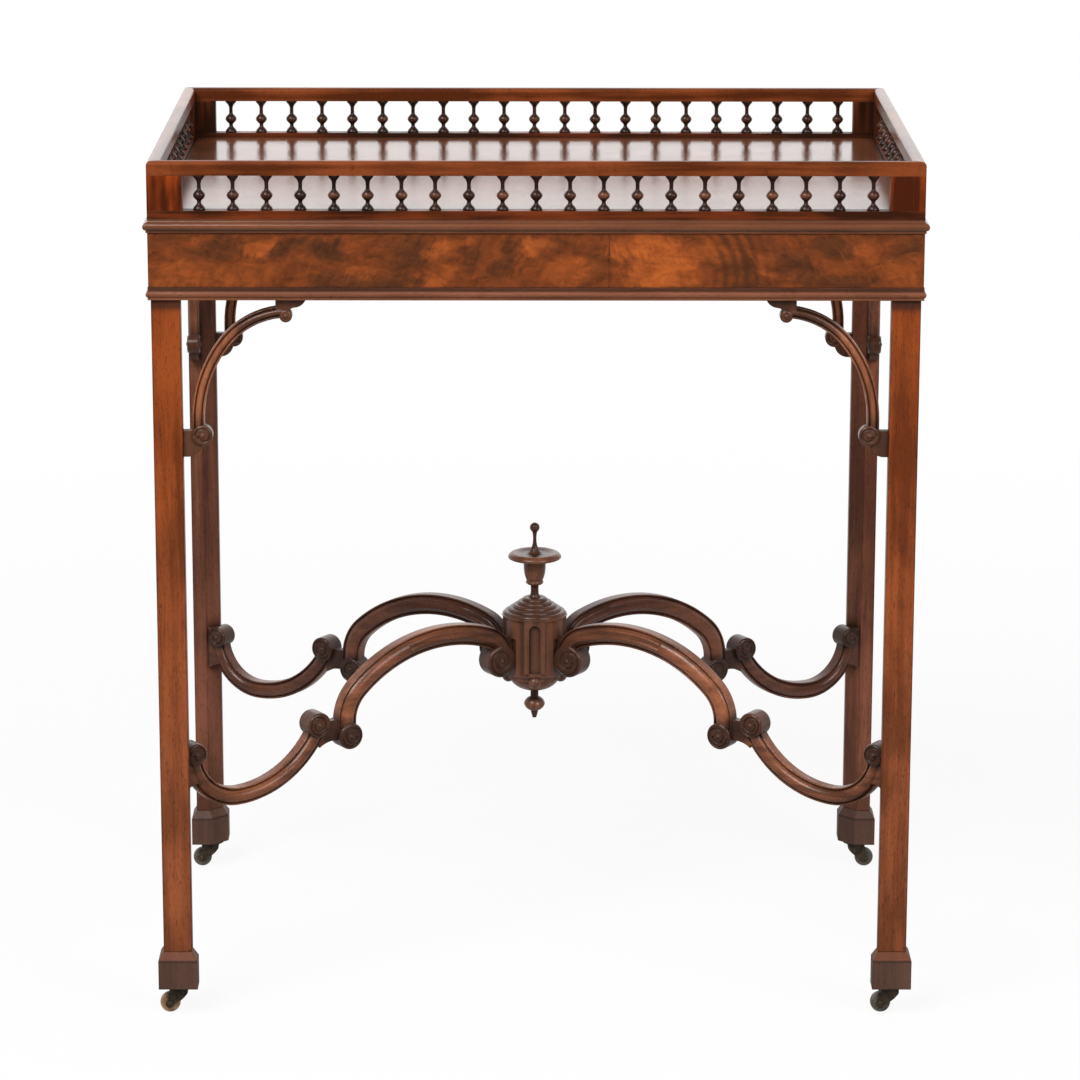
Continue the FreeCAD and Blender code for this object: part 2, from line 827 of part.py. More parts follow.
def prism(points, thick):
    """An upright slab centred on the xz plane, through points (x, z) or (x, z, bulge); a bulge makes the edge
    to that point an arc that stands that far to the left of its chord."""
    spots = [Vector(point[0], -thick / 2, point[1]) for point in points]
    edges = []
    for here, there, point in zip(spots[-1:] + spots[:-1], spots, points):
        if len(point) == 2:
            edges.append(Part.makeLine(here, there))
        else:
            chord = there - here
            side = Vector(-chord.z, 0, chord.x).normalize()
            edges.append(Part.Arc(here, (here + there) / 2 + side * point[2], there).toShape())
    return Part.Face(Part.Wire(edges)).extrude(Vector(0, thick, 0))


def bracket_shape():
    """A C-scroll bracket: x from the leg's inner face along the apron, z up from under the moulding."""
    width = size.bracket_strip_width.number
    depth = size.bracket_thickness.number
    steps = [(size.bracket_line.number,), (size.bracket_lower_radius.number, -bracket_lower_turn),
             (size.bracket_upper_radius.number, -bracket_upper_turn)]
    offset = size.bracket_strip_offset.number + width / 2
    ends = tangent_path(Vector(offset, 0, 0), 90, steps)[1]
    low = -size.bracket_head_drop.number - ends.z
    body, end, last = strip(Vector(offset, 0, low), 90, steps, width, depth, size.bracket_crown.number)
    radius = size.bracket_volute_radius.number
    lap = size.volute_overhang.number
    foot_centre = Vector(offset - width / 2 + radius - lap, 0, low)
    lobe = size.bracket_lobe_radius.number
    lobe_centre = end - Vector(0, 0, width / 3)
    web = size.bracket_web_thickness.number
    tab_wide = size.bracket_tab_width.number
    tab_tall = size.bracket_tab_height.number
    tab_low = low - tab_tall * 3 / 4
    tab_top = low + tab_tall / 6
    tab = prism([(0, tab_top), (foot_centre.x, tab_top), (foot_centre.x, low - radius * 3 / 4),
                 (tab_wide / 5, tab_low, tab_wide / 4), (0, tab_low)], web)
    head_long = size.bracket_head_length.number
    head_start = end.x - head_long / 3
    step_x = lobe_centre.x + lobe * 4 / 3
    step_low = -size.bracket_head_drop.number * 2 / 3
    head = prism([(head_start, 0), (head_start, end.z), (lobe_centre.x + lobe / 2, end.z),
                  (step_x, step_low, lobe / 6), (end.x + head_long * 2 / 3, 0, -lobe / 3)], web)
    foot_volute = volute(foot_centre, radius, depth, 180, -1, 2)
    head_lobe = volute(lobe_centre, lobe, depth, 90, -1, 0)
    return body.fuse([foot_volute, head_lobe, tab, head])


def scroll_brackets(side, pattern):
    length, distance = sides[side]
    at_leg = length.number / 2 - size.veneer_thickness.number - size.leg_width.number
    inward = size.veneer_thickness.number + size.bracket_setback.number + size.bracket_thickness.number / 2
    pair = []
    for sign, flip in ((-1, 0), (1, 180)):
        copy = pattern.copy()
        copy.rotate(Vector(0, 0, 0), Vector(0, 0, 1), flip)
        copy.translate(Vector(sign * at_leg, inward - distance.number, moulding_level.number))
        copy.rotate(Vector(0, 0, 0), Vector(0, 0, 1), quarter_turn * side_quarters(side))
        pair.append(copy)
    node = doc.addObject("Part::Feature", "Brackets")
    node.Shape = Part.makeCompound(pair)
    return node


pattern = bracket_shape()
for side in sides:
    keep(scroll_brackets(side, pattern), "brackets_" + side)


# Stretcher arm: x from the boss axis out to the leg, z up from the floor
def arm_profile():
    """Paths and volute centres of one arm. The long arch takes up what the span leaves."""
    lower = size.arm_lower_width.number
    arch = size.arm_arch_width.number
    level = size.arm_leg_level.number
    leg_turn = 90
    lower_start = Vector(arm_reach - lower / 2, 0, level)
    lower_steps = [(size.arm_leg_radius.number, -leg_turn), (size.arm_lower_radius.number, -arm_lower_turn)]
    lower_end, lower_heading = tangent_path(lower_start, 270, lower_steps)[1:]
    arch_start = lower_end - Vector(size.arm_scroll_spread.number, 0, size.arm_arch_drop.number)
    first = math.radians(arm_arch_start_turn)
    crest = math.radians(arm_arch_crest_turn)
    start_radius = size.arm_arch_start_radius.number
    crest_radius = size.arm_arch_crest_radius.number
    end_radius = size.arm_arch_end_radius.number
    span = arch_start.x - size.boss_flat_distance.number - arch / 2
    taken = start_radius * (1 - math.cos(first)) + crest_radius * math.sin(crest)
    taken += end_radius * (1 - math.sin(crest))
    long_radius = (span - taken) / math.cos(first)
    arch_steps = [(size.arm_arch_line.number,), (start_radius, arm_arch_start_turn),
                  (long_radius, 90 - arm_arch_start_turn), (crest_radius, arm_arch_crest_turn),
                  (end_radius, 90 - arm_arch_crest_turn)]
    arch_end = tangent_path(arch_start, 90, arch_steps)[1]
    return lower_start, lower_steps, lower_end, lower_heading, arch_start, arch_steps, arch_end


lower_start, lower_steps, lower_end, lower_heading, arch_start, arch_steps, arch_end = arm_profile()
boss_level = arch_end.z
boss_dowel_level = boss_level + size.arm_arch_end_radius.number / 2
boss_seat_top = boss_level + size.arm_arch_width.number


def arch_reeds():
    """Round reeds let into both faces of the arch, which follow its last bends down into the boss scroll."""
    half = size.arm_arch_width.number / 2 - size.strip_lip.number - size.strip_quirk.number
    radius = size.arm_reed_radius.number
    crown = size.arm_crown.number
    face = size.arm_thickness.number / 2 - crown
    line, first, long, crest, end = arch_steps
    reeds = []
    for share in reed_place_shares:
        out = half * share
        lift = face + crown * (1 - share ** 2) - radius * reed_sink_share
        lead = [line, (first[0] + out, first[1]), (long[0] + out, long[1] - arm_reed_turn)]
        follow = [(long[0] + out, arm_reed_turn), (crest[0] + out, crest[1]), (end[0] + out, end[1])]
        for side in (-1, 1):
            foot = arch_start + Vector(out, lift * side, 0)
            start, heading = tangent_path(foot, 90, lead)[1:]
            ahead = Vector(math.cos(math.radians(heading)), 0, math.sin(math.radians(heading)))
            circle = Part.Wire(Part.makeCircle(radius, start, ahead))
            edges = tangent_path(start, heading, follow)[0]
            reeds.append(Part.Wire(edges).makePipeShell([circle], True, False))
            reeds.append(Part.makeSphere(radius, start))
    return reeds


def arm_shape():
    lower = size.arm_lower_width.number
    arch = size.arm_arch_width.number
    depth = size.arm_thickness.number
    crown = size.arm_crown.number
    lower_strip = strip(lower_start, 270, lower_steps, lower, depth, crown)[0]
    arch_strip = strip(arch_start, 90, arch_steps, arch, depth, crown)[0]
    leg_radius = size.arm_leg_volute_radius.number
    joint_radius = size.arm_joint_volute_radius.number
    arch_radius = size.arm_arch_volute_radius.number
    boss_radius = size.arm_boss_volute_radius.number
    inner = math.radians(lower_heading - 90)
    lap = size.volute_overhang.number
    joint_centre = lower_end + Vector(math.cos(inner), 0, math.sin(inner)) * (joint_radius - lower / 2 - lap)
    volutes = [
        volute(lower_start + Vector(lower / 2 - leg_radius + lap, 0, 0), leg_radius, depth, 0, 1, 2),
        volute(joint_centre, joint_radius, depth, lower_heading + 90, 1),
        volute(arch_start + Vector(arch / 2 - arch_radius + lap, 0, 0), arch_radius, depth, 0, -1),
        volute(arch_end + Vector(boss_radius - arch / 2 - lap, 0, 0), boss_radius, depth, 180, 1),
    ]
    web_thick = size.arm_web_thickness.number
    hollow = size.arm_scroll_spread.number / 6
    web_low = arch_start.z - size.arm_arch_drop.number / 2
    web_top = lower_end.z + size.arm_arch_drop.number / 2
    web = prism([(arch_start.x, web_low), (lower_end.x, web_low, hollow), (lower_end.x, web_top),
                 (arch_start.x, web_top, hollow)], web_thick)
    over = size.arm_thickness.number / 2
    end = arm_reach + over
    level = size.arm_leg_level.number
    rise = size.arm_pad_rise.number
    drop = size.arm_pad_drop.number
    pad_shape = prism([(end, level + rise), (arm_reach - lower / 4, level + rise / 2),
                       (arm_reach - lower / 2, level), (arm_reach - lower, level - drop * 2 / 3),
                       (arm_reach - lower / 4, level - drop * 3 / 4), (end, level - drop)],
                      size.arm_pad_thickness.number)
    seat_x = size.boss_flat_distance.number - over
    seat = prism([(seat_x, boss_level), (arch_end.x, boss_level), (arch_end.x, boss_seat_top),
                  (seat_x, boss_seat_top)], web_thick)
    return lower_strip.fuse([arch_strip, web, pad_shape, seat] + volutes + arch_reeds())


def stretcher_arm(corner, pattern):
    """One arm, its outer end cut to the leg's chamfer, with a dowel at each end."""
    sign_x, sign_y = corners_of_table[corner]
    block = 2 * arm_reach
    chamfer_distance = (chamfer_x + chamfer_y) * math.sqrt(0.5)
    beyond = Part.makeBox(block, block, block, Vector(chamfer_distance, -block / 2, 0))
    diagonal = math.degrees(math.atan2(sign_y, sign_x))
    beyond.rotate(Vector(0, 0, 0), Vector(0, 0, 1), diagonal - arm_turn(sign_x, sign_y))
    long = size.arm_dowel_length.number
    bite = size.arm_leg_volute_radius.number
    radius = size.arm_dowel_radius.number
    leg_dowel = Part.makeCylinder(radius, long + bite, Vector(arm_reach - bite, 0, arm_dowel_level.number),
                                  Vector(1, 0, 0))
    boss_dowel = Part.makeCylinder(radius, long + bite, Vector(size.boss_flat_distance.number - long, 0,
                                                               boss_dowel_level), Vector(1, 0, 0))
    core = Part.makeBox(block, block, block, Vector(size.boss_flat_distance.number - block, -block / 2, 0))
    node = doc.addObject("Part::Feature", "Arm")
    node.Shape = pattern.cut([beyond, core]).fuse([leg_dowel, boss_dowel])
    turn = FreeCAD.Rotation(Vector(0, 0, 1), arm_turn(sign_x, sign_y))
    node.Placement = FreeCAD.Placement(Vector(0, 0, 0), turn)
    return node


pattern = arm_shape()
for corner in corners_of_table:
    keep(stretcher_arm(corner, pattern), "stretcher_arm_" + corner)


# Boss: turned, with flats for the arms, a bordered sunk panel on each open face and a drop under each panel
boss_foot = boss_level - size.boss_seat_drop.number


def boss():
    radius = size.boss_radius
    bowl = size.boss_bowl_height
    body_top = bowl + size.boss_body_height
    dome = size.boss_dome_height
    step = size.boss_dome_step
    neck = size.finial_neck_radius
    pin = size.pin_radius + size.turning_clearance
    slope = (radius - 2 * neck) / dome_rings
    rise = dome / dome_rings
    pin_deep = size.pin_length + size.joint_clearance
    top = body_top + dome
    profile = [
        (pin, 0), (neck, 0), (size.boss_bowl_radius, bowl, -bowl / 3), (radius - step, bowl),
        (radius - step, bowl + step), (radius, bowl + 2 * step), (radius, body_top - step),
        (radius + step / 2, body_top - step / 2), (radius, body_top),
    ]
    for ring in range(dome_rings):
        ring_top = body_top + rise * (ring + 1)
        profile.append((radius - slope * (ring + 3 / 4), ring_top, -rise / 3))
        profile.append((radius - slope * (ring + 1), ring_top))
    profile += [(pin, top), (pin, top - pin_deep), (0, top - pin_deep), (0, pin_deep), (pin, pin_deep)]
    turning = move(turned(profile), 0, 0, 0)
    doc.recompute()
    solid = turning.Shape.copy()
    flat = size.boss_flat_distance.number
    wide = size.arm_thickness.number + 2 * size.volute_proud.number
    cuts = []
    for sign_x, sign_y in corners_of_table.values():
        slot = Part.makeBox(radius.number, wide, boss_seat_top - boss_foot, Vector(flat, -wide / 2, 0))
        hole = Part.makeCylinder(size.arm_dowel_radius.number + size.turning_clearance.number,
                                 size.arm_dowel_length.number + size.joint_clearance.number,
                                 Vector(flat - size.arm_dowel_length.number - size.joint_clearance.number, 0,
                                        boss_dowel_level - boss_foot), Vector(1, 0, 0))
        for tool in (slot, hole):
            tool.rotate(Vector(0, 0, 0), Vector(0, 0, 1), arm_turn(sign_x, sign_y))
            cuts.append(tool)
    borders = []
    drops = []
    panel_wide = size.boss_panel_width.number
    panel_tall = size.boss_panel_height.number
    panel_low = bowl.number + size.boss_body_height.number - panel_tall - panel_wide / 2
    edge = size.boss_border_width.number
    proud = size.boss_border_proud.number
    for quarter in range(len(quarter_directions)):
        bottom = radius.number - size.boss_panel_depth.number
        border = Part.makeBox(size.boss_panel_depth.number + proud, panel_wide + 2 * edge, panel_tall + edge,
                              Vector(bottom, -panel_wide / 2 - edge, panel_low))
        panel = Part.makeBox(radius.number, panel_wide, panel_tall - panel_wide / 2,
                             Vector(bottom, -panel_wide / 2, panel_low))
        arch_level = panel_low + panel_tall - panel_wide / 2
        arch_top = Part.makeCylinder(panel_wide / 2, radius.number, Vector(bottom, 0, arch_level), Vector(1, 0, 0))
        drop_place = Vector(size.boss_bowl_radius.number, 0, bowl.number)
        drop = Part.makeSphere(size.boss_drop_radius.number, drop_place)
        for tool in (border, panel, arch_top, drop):
            tool.rotate(Vector(0, 0, 0), Vector(0, 0, 1), quarter_turn * quarter)
        borders.append(border)
        cuts += [panel, arch_top]
        drops.append(drop)
    node = doc.addObject("Part::Feature", "Boss")
    node.Shape = solid.fuse(borders).cut(cuts).fuse(drops).removeSplitter()
    node.Placement = FreeCAD.Placement(Vector(0, 0, boss_foot), FreeCAD.Rotation())
    return node, top


boss_node, boss_height = boss()
keep(boss_node, "stretcher_boss")


def finial():
    pin = size.pin_radius
    neck = size.finial_neck_radius
    ring = size.finial_ring_radius
    cup = size.finial_cup_radius
    disc = size.finial_disc_radius
    stem = size.finial_stem_radius
    ball = size.finial_ball_radius
    ring_low = size.finial_neck_length
    ring_top = ring_low + size.finial_ring_height
    disc_low = ring_top + size.finial_cup_height
    disc_top = disc_low + size.finial_disc_height
    ball_low = disc_top + size.finial_stem_length
    rim = size.finial_disc_height / 2
    rim_bow = rim * quarter_bow_share
    ring_tall = size.finial_ring_height
    return turned([
        (0, -size.pin_length), (pin, -size.pin_length), (pin, 0), (neck * 3 / 2, 0), (neck, neck, neck / 6),
        (neck, ring_low), (ring, ring_low + ring_tall / 2, -ring_tall / 6),
        (ring * 7 / 8, ring_top, -ring_tall / 8), (cup * 15 / 16, ring_top),
        (cup, ring_top + ring_tall, -ring_tall / 8), (cup, disc_low - rim),
        (cup + rim, disc_low, rim_bow), (disc - rim, disc_low), (disc, disc_low + rim, -rim_bow),
        (disc - rim, disc_top, -rim_bow), (stem * 3, disc_top + rim / 3), (stem, disc_top + 2 * rim, stem / 2),
        (stem * 2 / 3, ball_low), (ball, ball_low + ball, -ball / 6),
        (0, ball_low + 2 * ball, -ball * quarter_bow_share),
    ])


def pendant():
    neck = size.finial_neck_radius
    bead = size.pendant_bead_radius
    pin = size.pin_radius
    bead_top = -size.pendant_neck_length
    bead_low = bead_top - size.pendant_bead_height
    tip = bead_low - size.pendant_tip_length
    return turned([
        (0, size.pin_length), (pin, size.pin_length), (pin, 0), (neck, 0), (neck, bead_top),
        (bead, bead_top - size.pendant_bead_height / 2, neck / 3), (neck, bead_low, neck / 3),
        (neck / 2, tip), (0, tip),
    ])


finial_level = boss_foot + boss_height.number
for piece, level, name in ((finial(), finial_level, "stretcher_finial"),
                           (pendant(), boss_foot, "stretcher_pendant")):
    piece.Placement = FreeCAD.Placement(Vector(0, 0, level), FreeCAD.Rotation())
    keep(piece, name)


# Castors: plate, screws, horned fork, riveted axle, crowned wheel
def screw_turns():
    return [90 + 360 / plate_screws * index for index in range(plate_screws)]


def screw_place(turn):
    reach = size.plate_screw_circle
    return reach * math.cos(math.radians(turn)), reach * math.sin(math.radians(turn))


def castor_plate(x, y):
    plate = rod(size.plate_radius, size.plate_thickness)
    level = foot_level - size.plate_thickness
    move(plate, x, y, level)
    hole = rod(size.swivel_pin_radius + size.turning_clearance, size.plate_thickness)
    tools = [move(hole, x, y, level)]
    for turn in screw_turns():
        step_x, step_y = screw_place(turn)
        bore = rod(size.plate_screw_head_radius + size.turning_clearance, size.plate_thickness)
        tools.append(move(bore, x + step_x, y + step_y, level))
    return carved(plate, joined(tools))


def castor_screws(x, y):
    screws = []
    head = size.plate_screw_head_radius
    shank = size.plate_screw_radius
    thick = size.plate_thickness
    for turn in screw_turns():
        step_x, step_y = screw_place(turn)
        screw = turned([(0, 0), (head, 0), (head, thick / 3), (shank, thick), (shank, size.plate_screw_length),
                        (0, size.plate_screw_length)])
        screws.append(move(screw, x + step_x, y + step_y, foot_level - thick))
    return screws


def castor_fork(x, y, turn):
    """Fork with its swivel pin; the wheel trails along the turn."""
    crown_top = foot_level - size.plate_thickness - size.swivel_gap
    crown_low = 2 * size.wheel_radius + size.wheel_clearance
    crown = size.crown_radius
    eye = size.fork_eye_radius
    axle = size.wheel_radius
    trail = size.castor_trail
    slot = size.wheel_width + 2 * size.wheel_gap
    body = new_body()
    side_view = [(-crown, crown_top), (-crown, crown_low), (trail - eye, axle, -crown / 6),
                 (trail + eye, axle, -eye * rim_round_share), (crown + eye / 2, crown_low, crown / 8),
                 (crown, crown_top)]
    pad(body, outline(body, "XZ_Plane", [side_view]), slot + 2 * size.fork_cheek, symmetric=True)
    gap = box(2 * (crown + trail + eye), slot, crown_low)
    move(gap, -(crown + trail + eye), -slot / 2, 0)
    bore = rod(size.axle_radius + size.turning_clearance, slot + 4 * size.fork_cheek)
    bore.Placement = FreeCAD.Placement(Vector(0, 0, 0), FreeCAD.Rotation(Vector(1, 0, 0), 90))
    bind(bore, ".Placement.Base.x", trail)
    bind(bore, ".Placement.Base.y", slot / 2 + 2 * size.fork_cheek)
    bind(bore, ".Placement.Base.z", axle)
    horn = carved(body, joined([gap, bore]))
    pin = rod(size.swivel_pin_radius,
              size.swivel_pin_length + size.plate_thickness + size.swivel_gap + size.fork_cheek)
    move(pin, 0, 0, crown_top - size.fork_cheek)
    return move(joined([horn, pin]), x, y, 0, turn)


def put_on_axle(thing, x, y, turn):
    """Lay a turned piece along the castor's axle."""
    lying = FreeCAD.Rotation(Vector(0, 0, 1), turn) * FreeCAD.Rotation(Vector(1, 0, 0), quarter_turn)
    thing.Placement = FreeCAD.Placement(Vector(0, 0, 0), lying)
    cos = round(math.cos(math.radians(turn)))
    sin = round(math.sin(math.radians(turn)))
    bind(thing, ".Placement.Base.x", x + size.castor_trail * cos)
    bind(thing, ".Placement.Base.y", y + size.castor_trail * sin)
    bind(thing, ".Placement.Base.z", size.wheel_radius)
    return thing


def castor_axle(x, y, turn):
    """Axle with its ends riveted over the fork's cheeks."""
    half = size.wheel_width / 2 + size.wheel_gap + size.fork_cheek
    radius = size.axle_radius
    head = size.axle_head_radius
    end = half + size.axle_head_height
    dome = head * 2 / 3
    axle = turned([(0, -end), (dome, -end), (head, -half), (radius, -half), (radius, half), (head, half),
                   (dome, end), (0, end)])
    return put_on_axle(axle, x, y, turn)


def castor_wheel(x, y, turn):
    bore = size.axle_radius + size.turning_clearance
    half = size.wheel_width / 2
    crown = size.wheel_radius
    edge = size.wheel_edge_radius
    wheel = turned([(bore, -half), (edge, -half), (edge, half, size.wheel_edge_radius - crown), (bore, half)])
    return put_on_axle(wheel, x, y, turn)


plates = []
screws = []
for corner, (sign_x, sign_y) in corners_of_table.items():
    x = sign_x * leg_centre_x
    y = sign_y * leg_centre_y
    keep(leg(corner), "leg_" + corner)
    keep(foot(corner), "foot_" + corner)
    plates.append(castor_plate(x, y))
    screws += castor_screws(x, y)
    keep(castor_fork(x, y, castor_headings[corner]), "castor_fork_" + corner)
    keep(castor_axle(x, y, castor_headings[corner]), "castor_axle_" + corner)
    keep(castor_wheel(x, y, castor_headings[corner]), "castor_wheel_" + corner)
keep(grouped(plates), "castor_plates")
keep(grouped(screws), "castor_plate_screws")

# Check everything, then write one file for each sub-part
doc.recompute()
for thing in doc.Objects:
    if "Invalid" in thing.State or "Error" in thing.State:
        raise RuntimeError("%s (%s) did not build: %s" % (thing.Name, thing.Label, thing.State))
os.makedirs("parts", exist_ok=True)
for node in nodes:
    if node.Shape.isNull() or not node.Shape.isValid():
        raise RuntimeError("%s has no valid shape" % node.Label)
for node in nodes:
    node.Shape.exportStep("parts/%s.step" % node.Label)
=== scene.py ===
import math

import bpy
from mathutils import Euler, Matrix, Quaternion, Vector


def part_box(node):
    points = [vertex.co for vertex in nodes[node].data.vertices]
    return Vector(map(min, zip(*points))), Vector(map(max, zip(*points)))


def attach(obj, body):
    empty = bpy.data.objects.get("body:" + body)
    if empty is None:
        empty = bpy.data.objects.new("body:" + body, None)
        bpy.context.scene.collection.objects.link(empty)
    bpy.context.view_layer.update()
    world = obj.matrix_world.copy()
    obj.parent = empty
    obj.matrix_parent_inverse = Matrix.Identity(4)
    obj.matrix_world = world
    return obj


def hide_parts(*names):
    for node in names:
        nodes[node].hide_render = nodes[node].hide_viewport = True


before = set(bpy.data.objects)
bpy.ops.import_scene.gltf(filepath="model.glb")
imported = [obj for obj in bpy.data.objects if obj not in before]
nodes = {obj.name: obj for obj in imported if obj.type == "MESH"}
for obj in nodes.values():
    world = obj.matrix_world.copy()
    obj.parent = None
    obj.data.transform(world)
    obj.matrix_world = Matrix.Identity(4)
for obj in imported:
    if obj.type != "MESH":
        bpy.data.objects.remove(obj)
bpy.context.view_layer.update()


def rgb(red, green, blue):
    return (red, green, blue, 1.0)


# Places on the table, in metres; a pair is where a change starts and ends: of finish, and at MOULDING_QUIRK
# and LEG_HEAD of painted shade

FRIEZE_FOOT = 0.6535
VENEER_JOINT = 0.062
MOULDING_FOOT = 0.6425
# painted shade in the quirk between the moulding and the frieze
MOULDING_QUIRK = (0.6528, 0.6542)
BEAD_BELLY = 0.7359
FRONT_TO_SIDE_STILES = (-0.205, -0.195)
# painted shadow that the moulding casts on the head of each leg
LEG_HEAD = (MOULDING_FOOT - 0.008, MOULDING_FOOT - 0.003)
LEG_BROWNING = (0.52, 0.22)
FOOT_SEAM = 0.0520
FOOT_BLOCK_TO_BEVEL = (0.0516, 0.0524)
BRACKET_FOOT_SCROLL = (0.550, 0.534)
BRACKET_HEAD = (0.612, 0.626)
BOSS_SHOULDER = (0.3085, 0.3125)
ARM_NEAR_BOSS = (0.110, 0.042)
FINIAL_DISH = (0.0180, 0.010)
FINIAL_NECK = (0.0056, 0.0042)
FINIAL_FOOT = 0.32675

# scrolls of a stretcher arm and the neck between two of them: distance from the axis, height and radius
ARM_SCROLLS = (
    (0.3587, 0.2360, 0.0100), (0.2342, 0.2430, 0.0115), (0.2180, 0.2350, 0.0110), (0.2015, 0.2277, 0.0120),
    (0.0405, 0.2730, 0.0150),
)
ARM_TURN = math.radians(33.1)

# Pale and deep tone of each piece's figure; the rear legs' and rear arms' tones also paint shade, the right
# rear leg's also paints light

RAIL_TONES = rgb(0.235, 0.056, 0.016), rgb(0.095, 0.022, 0.006)
BOTTOM_RAIL_TONES = rgb(0.190, 0.036, 0.008), rgb(0.040, 0.010, 0.003)
FRONT_STILE_TONES = rgb(0.320, 0.050, 0.006), rgb(0.066, 0.012, 0.003)
OTHER_STILE_TONES = rgb(0.130, 0.030, 0.009), rgb(0.030, 0.009, 0.004)
SPINDLE_TONES = rgb(0.046, 0.015, 0.008), rgb(0.012, 0.005, 0.003)
TRAY_TONES = rgb(0.250, 0.085, 0.038), rgb(0.110, 0.036, 0.016)
TRAY_UNDERSIDE_TONES = rgb(0.230, 0.120, 0.066), rgb(0.100, 0.050, 0.028)
FLAME_TONES = rgb(0.290, 0.066, 0.014), rgb(0.080, 0.023, 0.007)
AMBER_TONES = rgb(0.600, 0.140, 0.026), rgb(0.250, 0.055, 0.011)
SMOKE_TONES = rgb(0.118, 0.038, 0.013), rgb(0.036, 0.014, 0.007)
MOULDING_TONES = rgb(0.300, 0.105, 0.050), rgb(0.135, 0.045, 0.021)
LEG_TONES = rgb(0.335, 0.068, 0.011), rgb(0.150, 0.030, 0.005)
LEG_LOW_TONES = rgb(0.350, 0.096, 0.032), rgb(0.168, 0.046, 0.015)
# painted shade: the rear legs are a darker, greyer copy of the front legs' tone
SHADED_REAR_LEG_TONES = rgb(0.265, 0.092, 0.050), rgb(0.115, 0.041, 0.023)
# painted light: the right rear leg is paler above, to make up for the tray top's shadow on it
LIT_RIGHT_REAR_LEG_TONES = rgb(0.420, 0.136, 0.066), rgb(0.195, 0.063, 0.031)
# painted shade: lower down the right rear leg keeps a darker rear-leg tone
SHADED_RIGHT_REAR_LEG_LOW_TONES = rgb(0.320, 0.112, 0.062), rgb(0.140, 0.050, 0.028)
FOOT_TONES = rgb(0.160, 0.080, 0.054), rgb(0.080, 0.040, 0.027)
FRONT_BEVEL_TONES = rgb(0.230, 0.072, 0.030), rgb(0.125, 0.038, 0.016)
ARM_TONES = rgb(0.385, 0.130, 0.058), rgb(0.118, 0.042, 0.020)
# painted shade: the rear arms are a darker copy of the front arms' tone
SHADED_REAR_ARM_TONES = rgb(0.230, 0.082, 0.045), rgb(0.092, 0.034, 0.020)
BOSS_TONES = rgb(0.265, 0.104, 0.057), rgb(0.092, 0.038, 0.022)
DEAL_TONES = rgb(0.420, 0.270, 0.150), rgb(0.270, 0.160, 0.085)
HORN_TONES = rgb(0.120, 0.086, 0.052), rgb(0.020, 0.015, 0.011)
TAN_WHEEL_TONES = rgb(0.600, 0.350, 0.190), rgb(0.260, 0.150, 0.085)
GREY_WHEEL_TONES = rgb(0.175, 0.150, 0.120), rgb(0.075, 0.064, 0.052)
SCREW_TONES = rgb(0.260, 0.180, 0.090), rgb(0.060, 0.045, 0.030)

# Dirt, old polish and rubbed places, and the painted shade and painted highlights that use these colours

PORE = rgb(0.030, 0.011, 0.006)
# grime for the wood's marks, and the colour of the painted shade in its hollows
WOOD_GRIME_AND_SHADE = rgb(0.012, 0.006, 0.004)
# old polish on the scrolls and the boss, and the colour of the painted shadow under the moulding on the legs
OLD_POLISH_AND_SHADE = rgb(0.032, 0.016, 0.011)
# painted shade for the moulding's quirk
PAINTED_QUIRK_SHADE = rgb(0.030, 0.013, 0.008)
FOOT_SEAM_DIRT = rgb(0.030, 0.014, 0.009)
DISH_DIRT_AND_DARK_NECK = rgb(0.026, 0.012, 0.008)
RING_SHADE = rgb(0.070, 0.022, 0.009)
# worn bare wood on the edges, also used as a painted highlight along them
BARE_WOOD_AND_HIGHLIGHT = rgb(0.340, 0.120, 0.050)
BARE_LEG_EDGE = rgb(0.050, 0.018, 0.009)
BARE_FOOT_EDGE = rgb(0.045, 0.020, 0.012)
# painted highlight on the belly of the spindles' beads
PAINTED_BEAD_HIGHLIGHT = rgb(0.240, 0.082, 0.034)
# grime for the brass's marks, and the colour of the painted shade in its hollows
BRASS_GRIME_AND_SHADE = rgb(0.010, 0.008, 0.006)
BARE_BRASS = rgb(0.420, 0.300, 0.150)


# Node helpers

def place(tree, kind, inputs=None, **settings):
    """Add a shader node; inputs are values or the sockets that feed them."""
    node = tree.nodes.new(kind)
    for name, value in settings.items():
        setattr(node, name, value)
    feed(tree, node, inputs or {})
    return node


def feed(tree, node, inputs):
    for key, value in inputs.items():
        if isinstance(value, bpy.types.NodeSocket):
            tree.links.new(value, node.inputs[key])
        else:
            node.inputs[key].default_value = value


def sums(tree, operation, first, second=0.0, third=0.0, clamp=False):
    node = place(tree, "ShaderNodeMath", operation=operation, use_clamp=clamp)
    feed(tree, node, {0: first, 1: second, 2: third})
    return node.outputs[0]


def vectors(tree, operation, first, second, gives=0):
    return place(tree, "ShaderNodeVectorMath", {0: first, 1: second}, operation=operation).outputs[gives]


def length_of(tree, vector):
    return vectors(tree, "LENGTH", vector, (0.0, 0.0, 0.0), "Value")


def axis_of(tree, vector, axis):
    return place(tree, "ShaderNodeSeparateXYZ", {"Vector": vector}).outputs[axis]


def noise(tree, vector, stretch, detail=2.0, roughness=0.5, distortion=0.0, gives="Fac"):
    """Noise as fine as stretch says along each axis, in cells to the metre."""
    node = place(tree, "ShaderNodeTexNoise", {
        "Vector": vectors(tree, "MULTIPLY", vector, stretch), "Scale": 1.0, "Detail": detail,
        "Roughness": roughness, "Distortion": distortion})
    return node.outputs[gives]


def spread(tree, value, low, high, to_low=0.0, to_high=1.0, soft=False):
    """Stretch a value between two limits and clamp it."""
    node = place(tree, "ShaderNodeMapRange", interpolation_type="SMOOTHSTEP" if soft else "LINEAR")
    feed(tree, node, {"Value": value, "From Min": low, "From Max": high, "To Min": to_low, "To Max": to_high})
    return node.outputs["Result"]


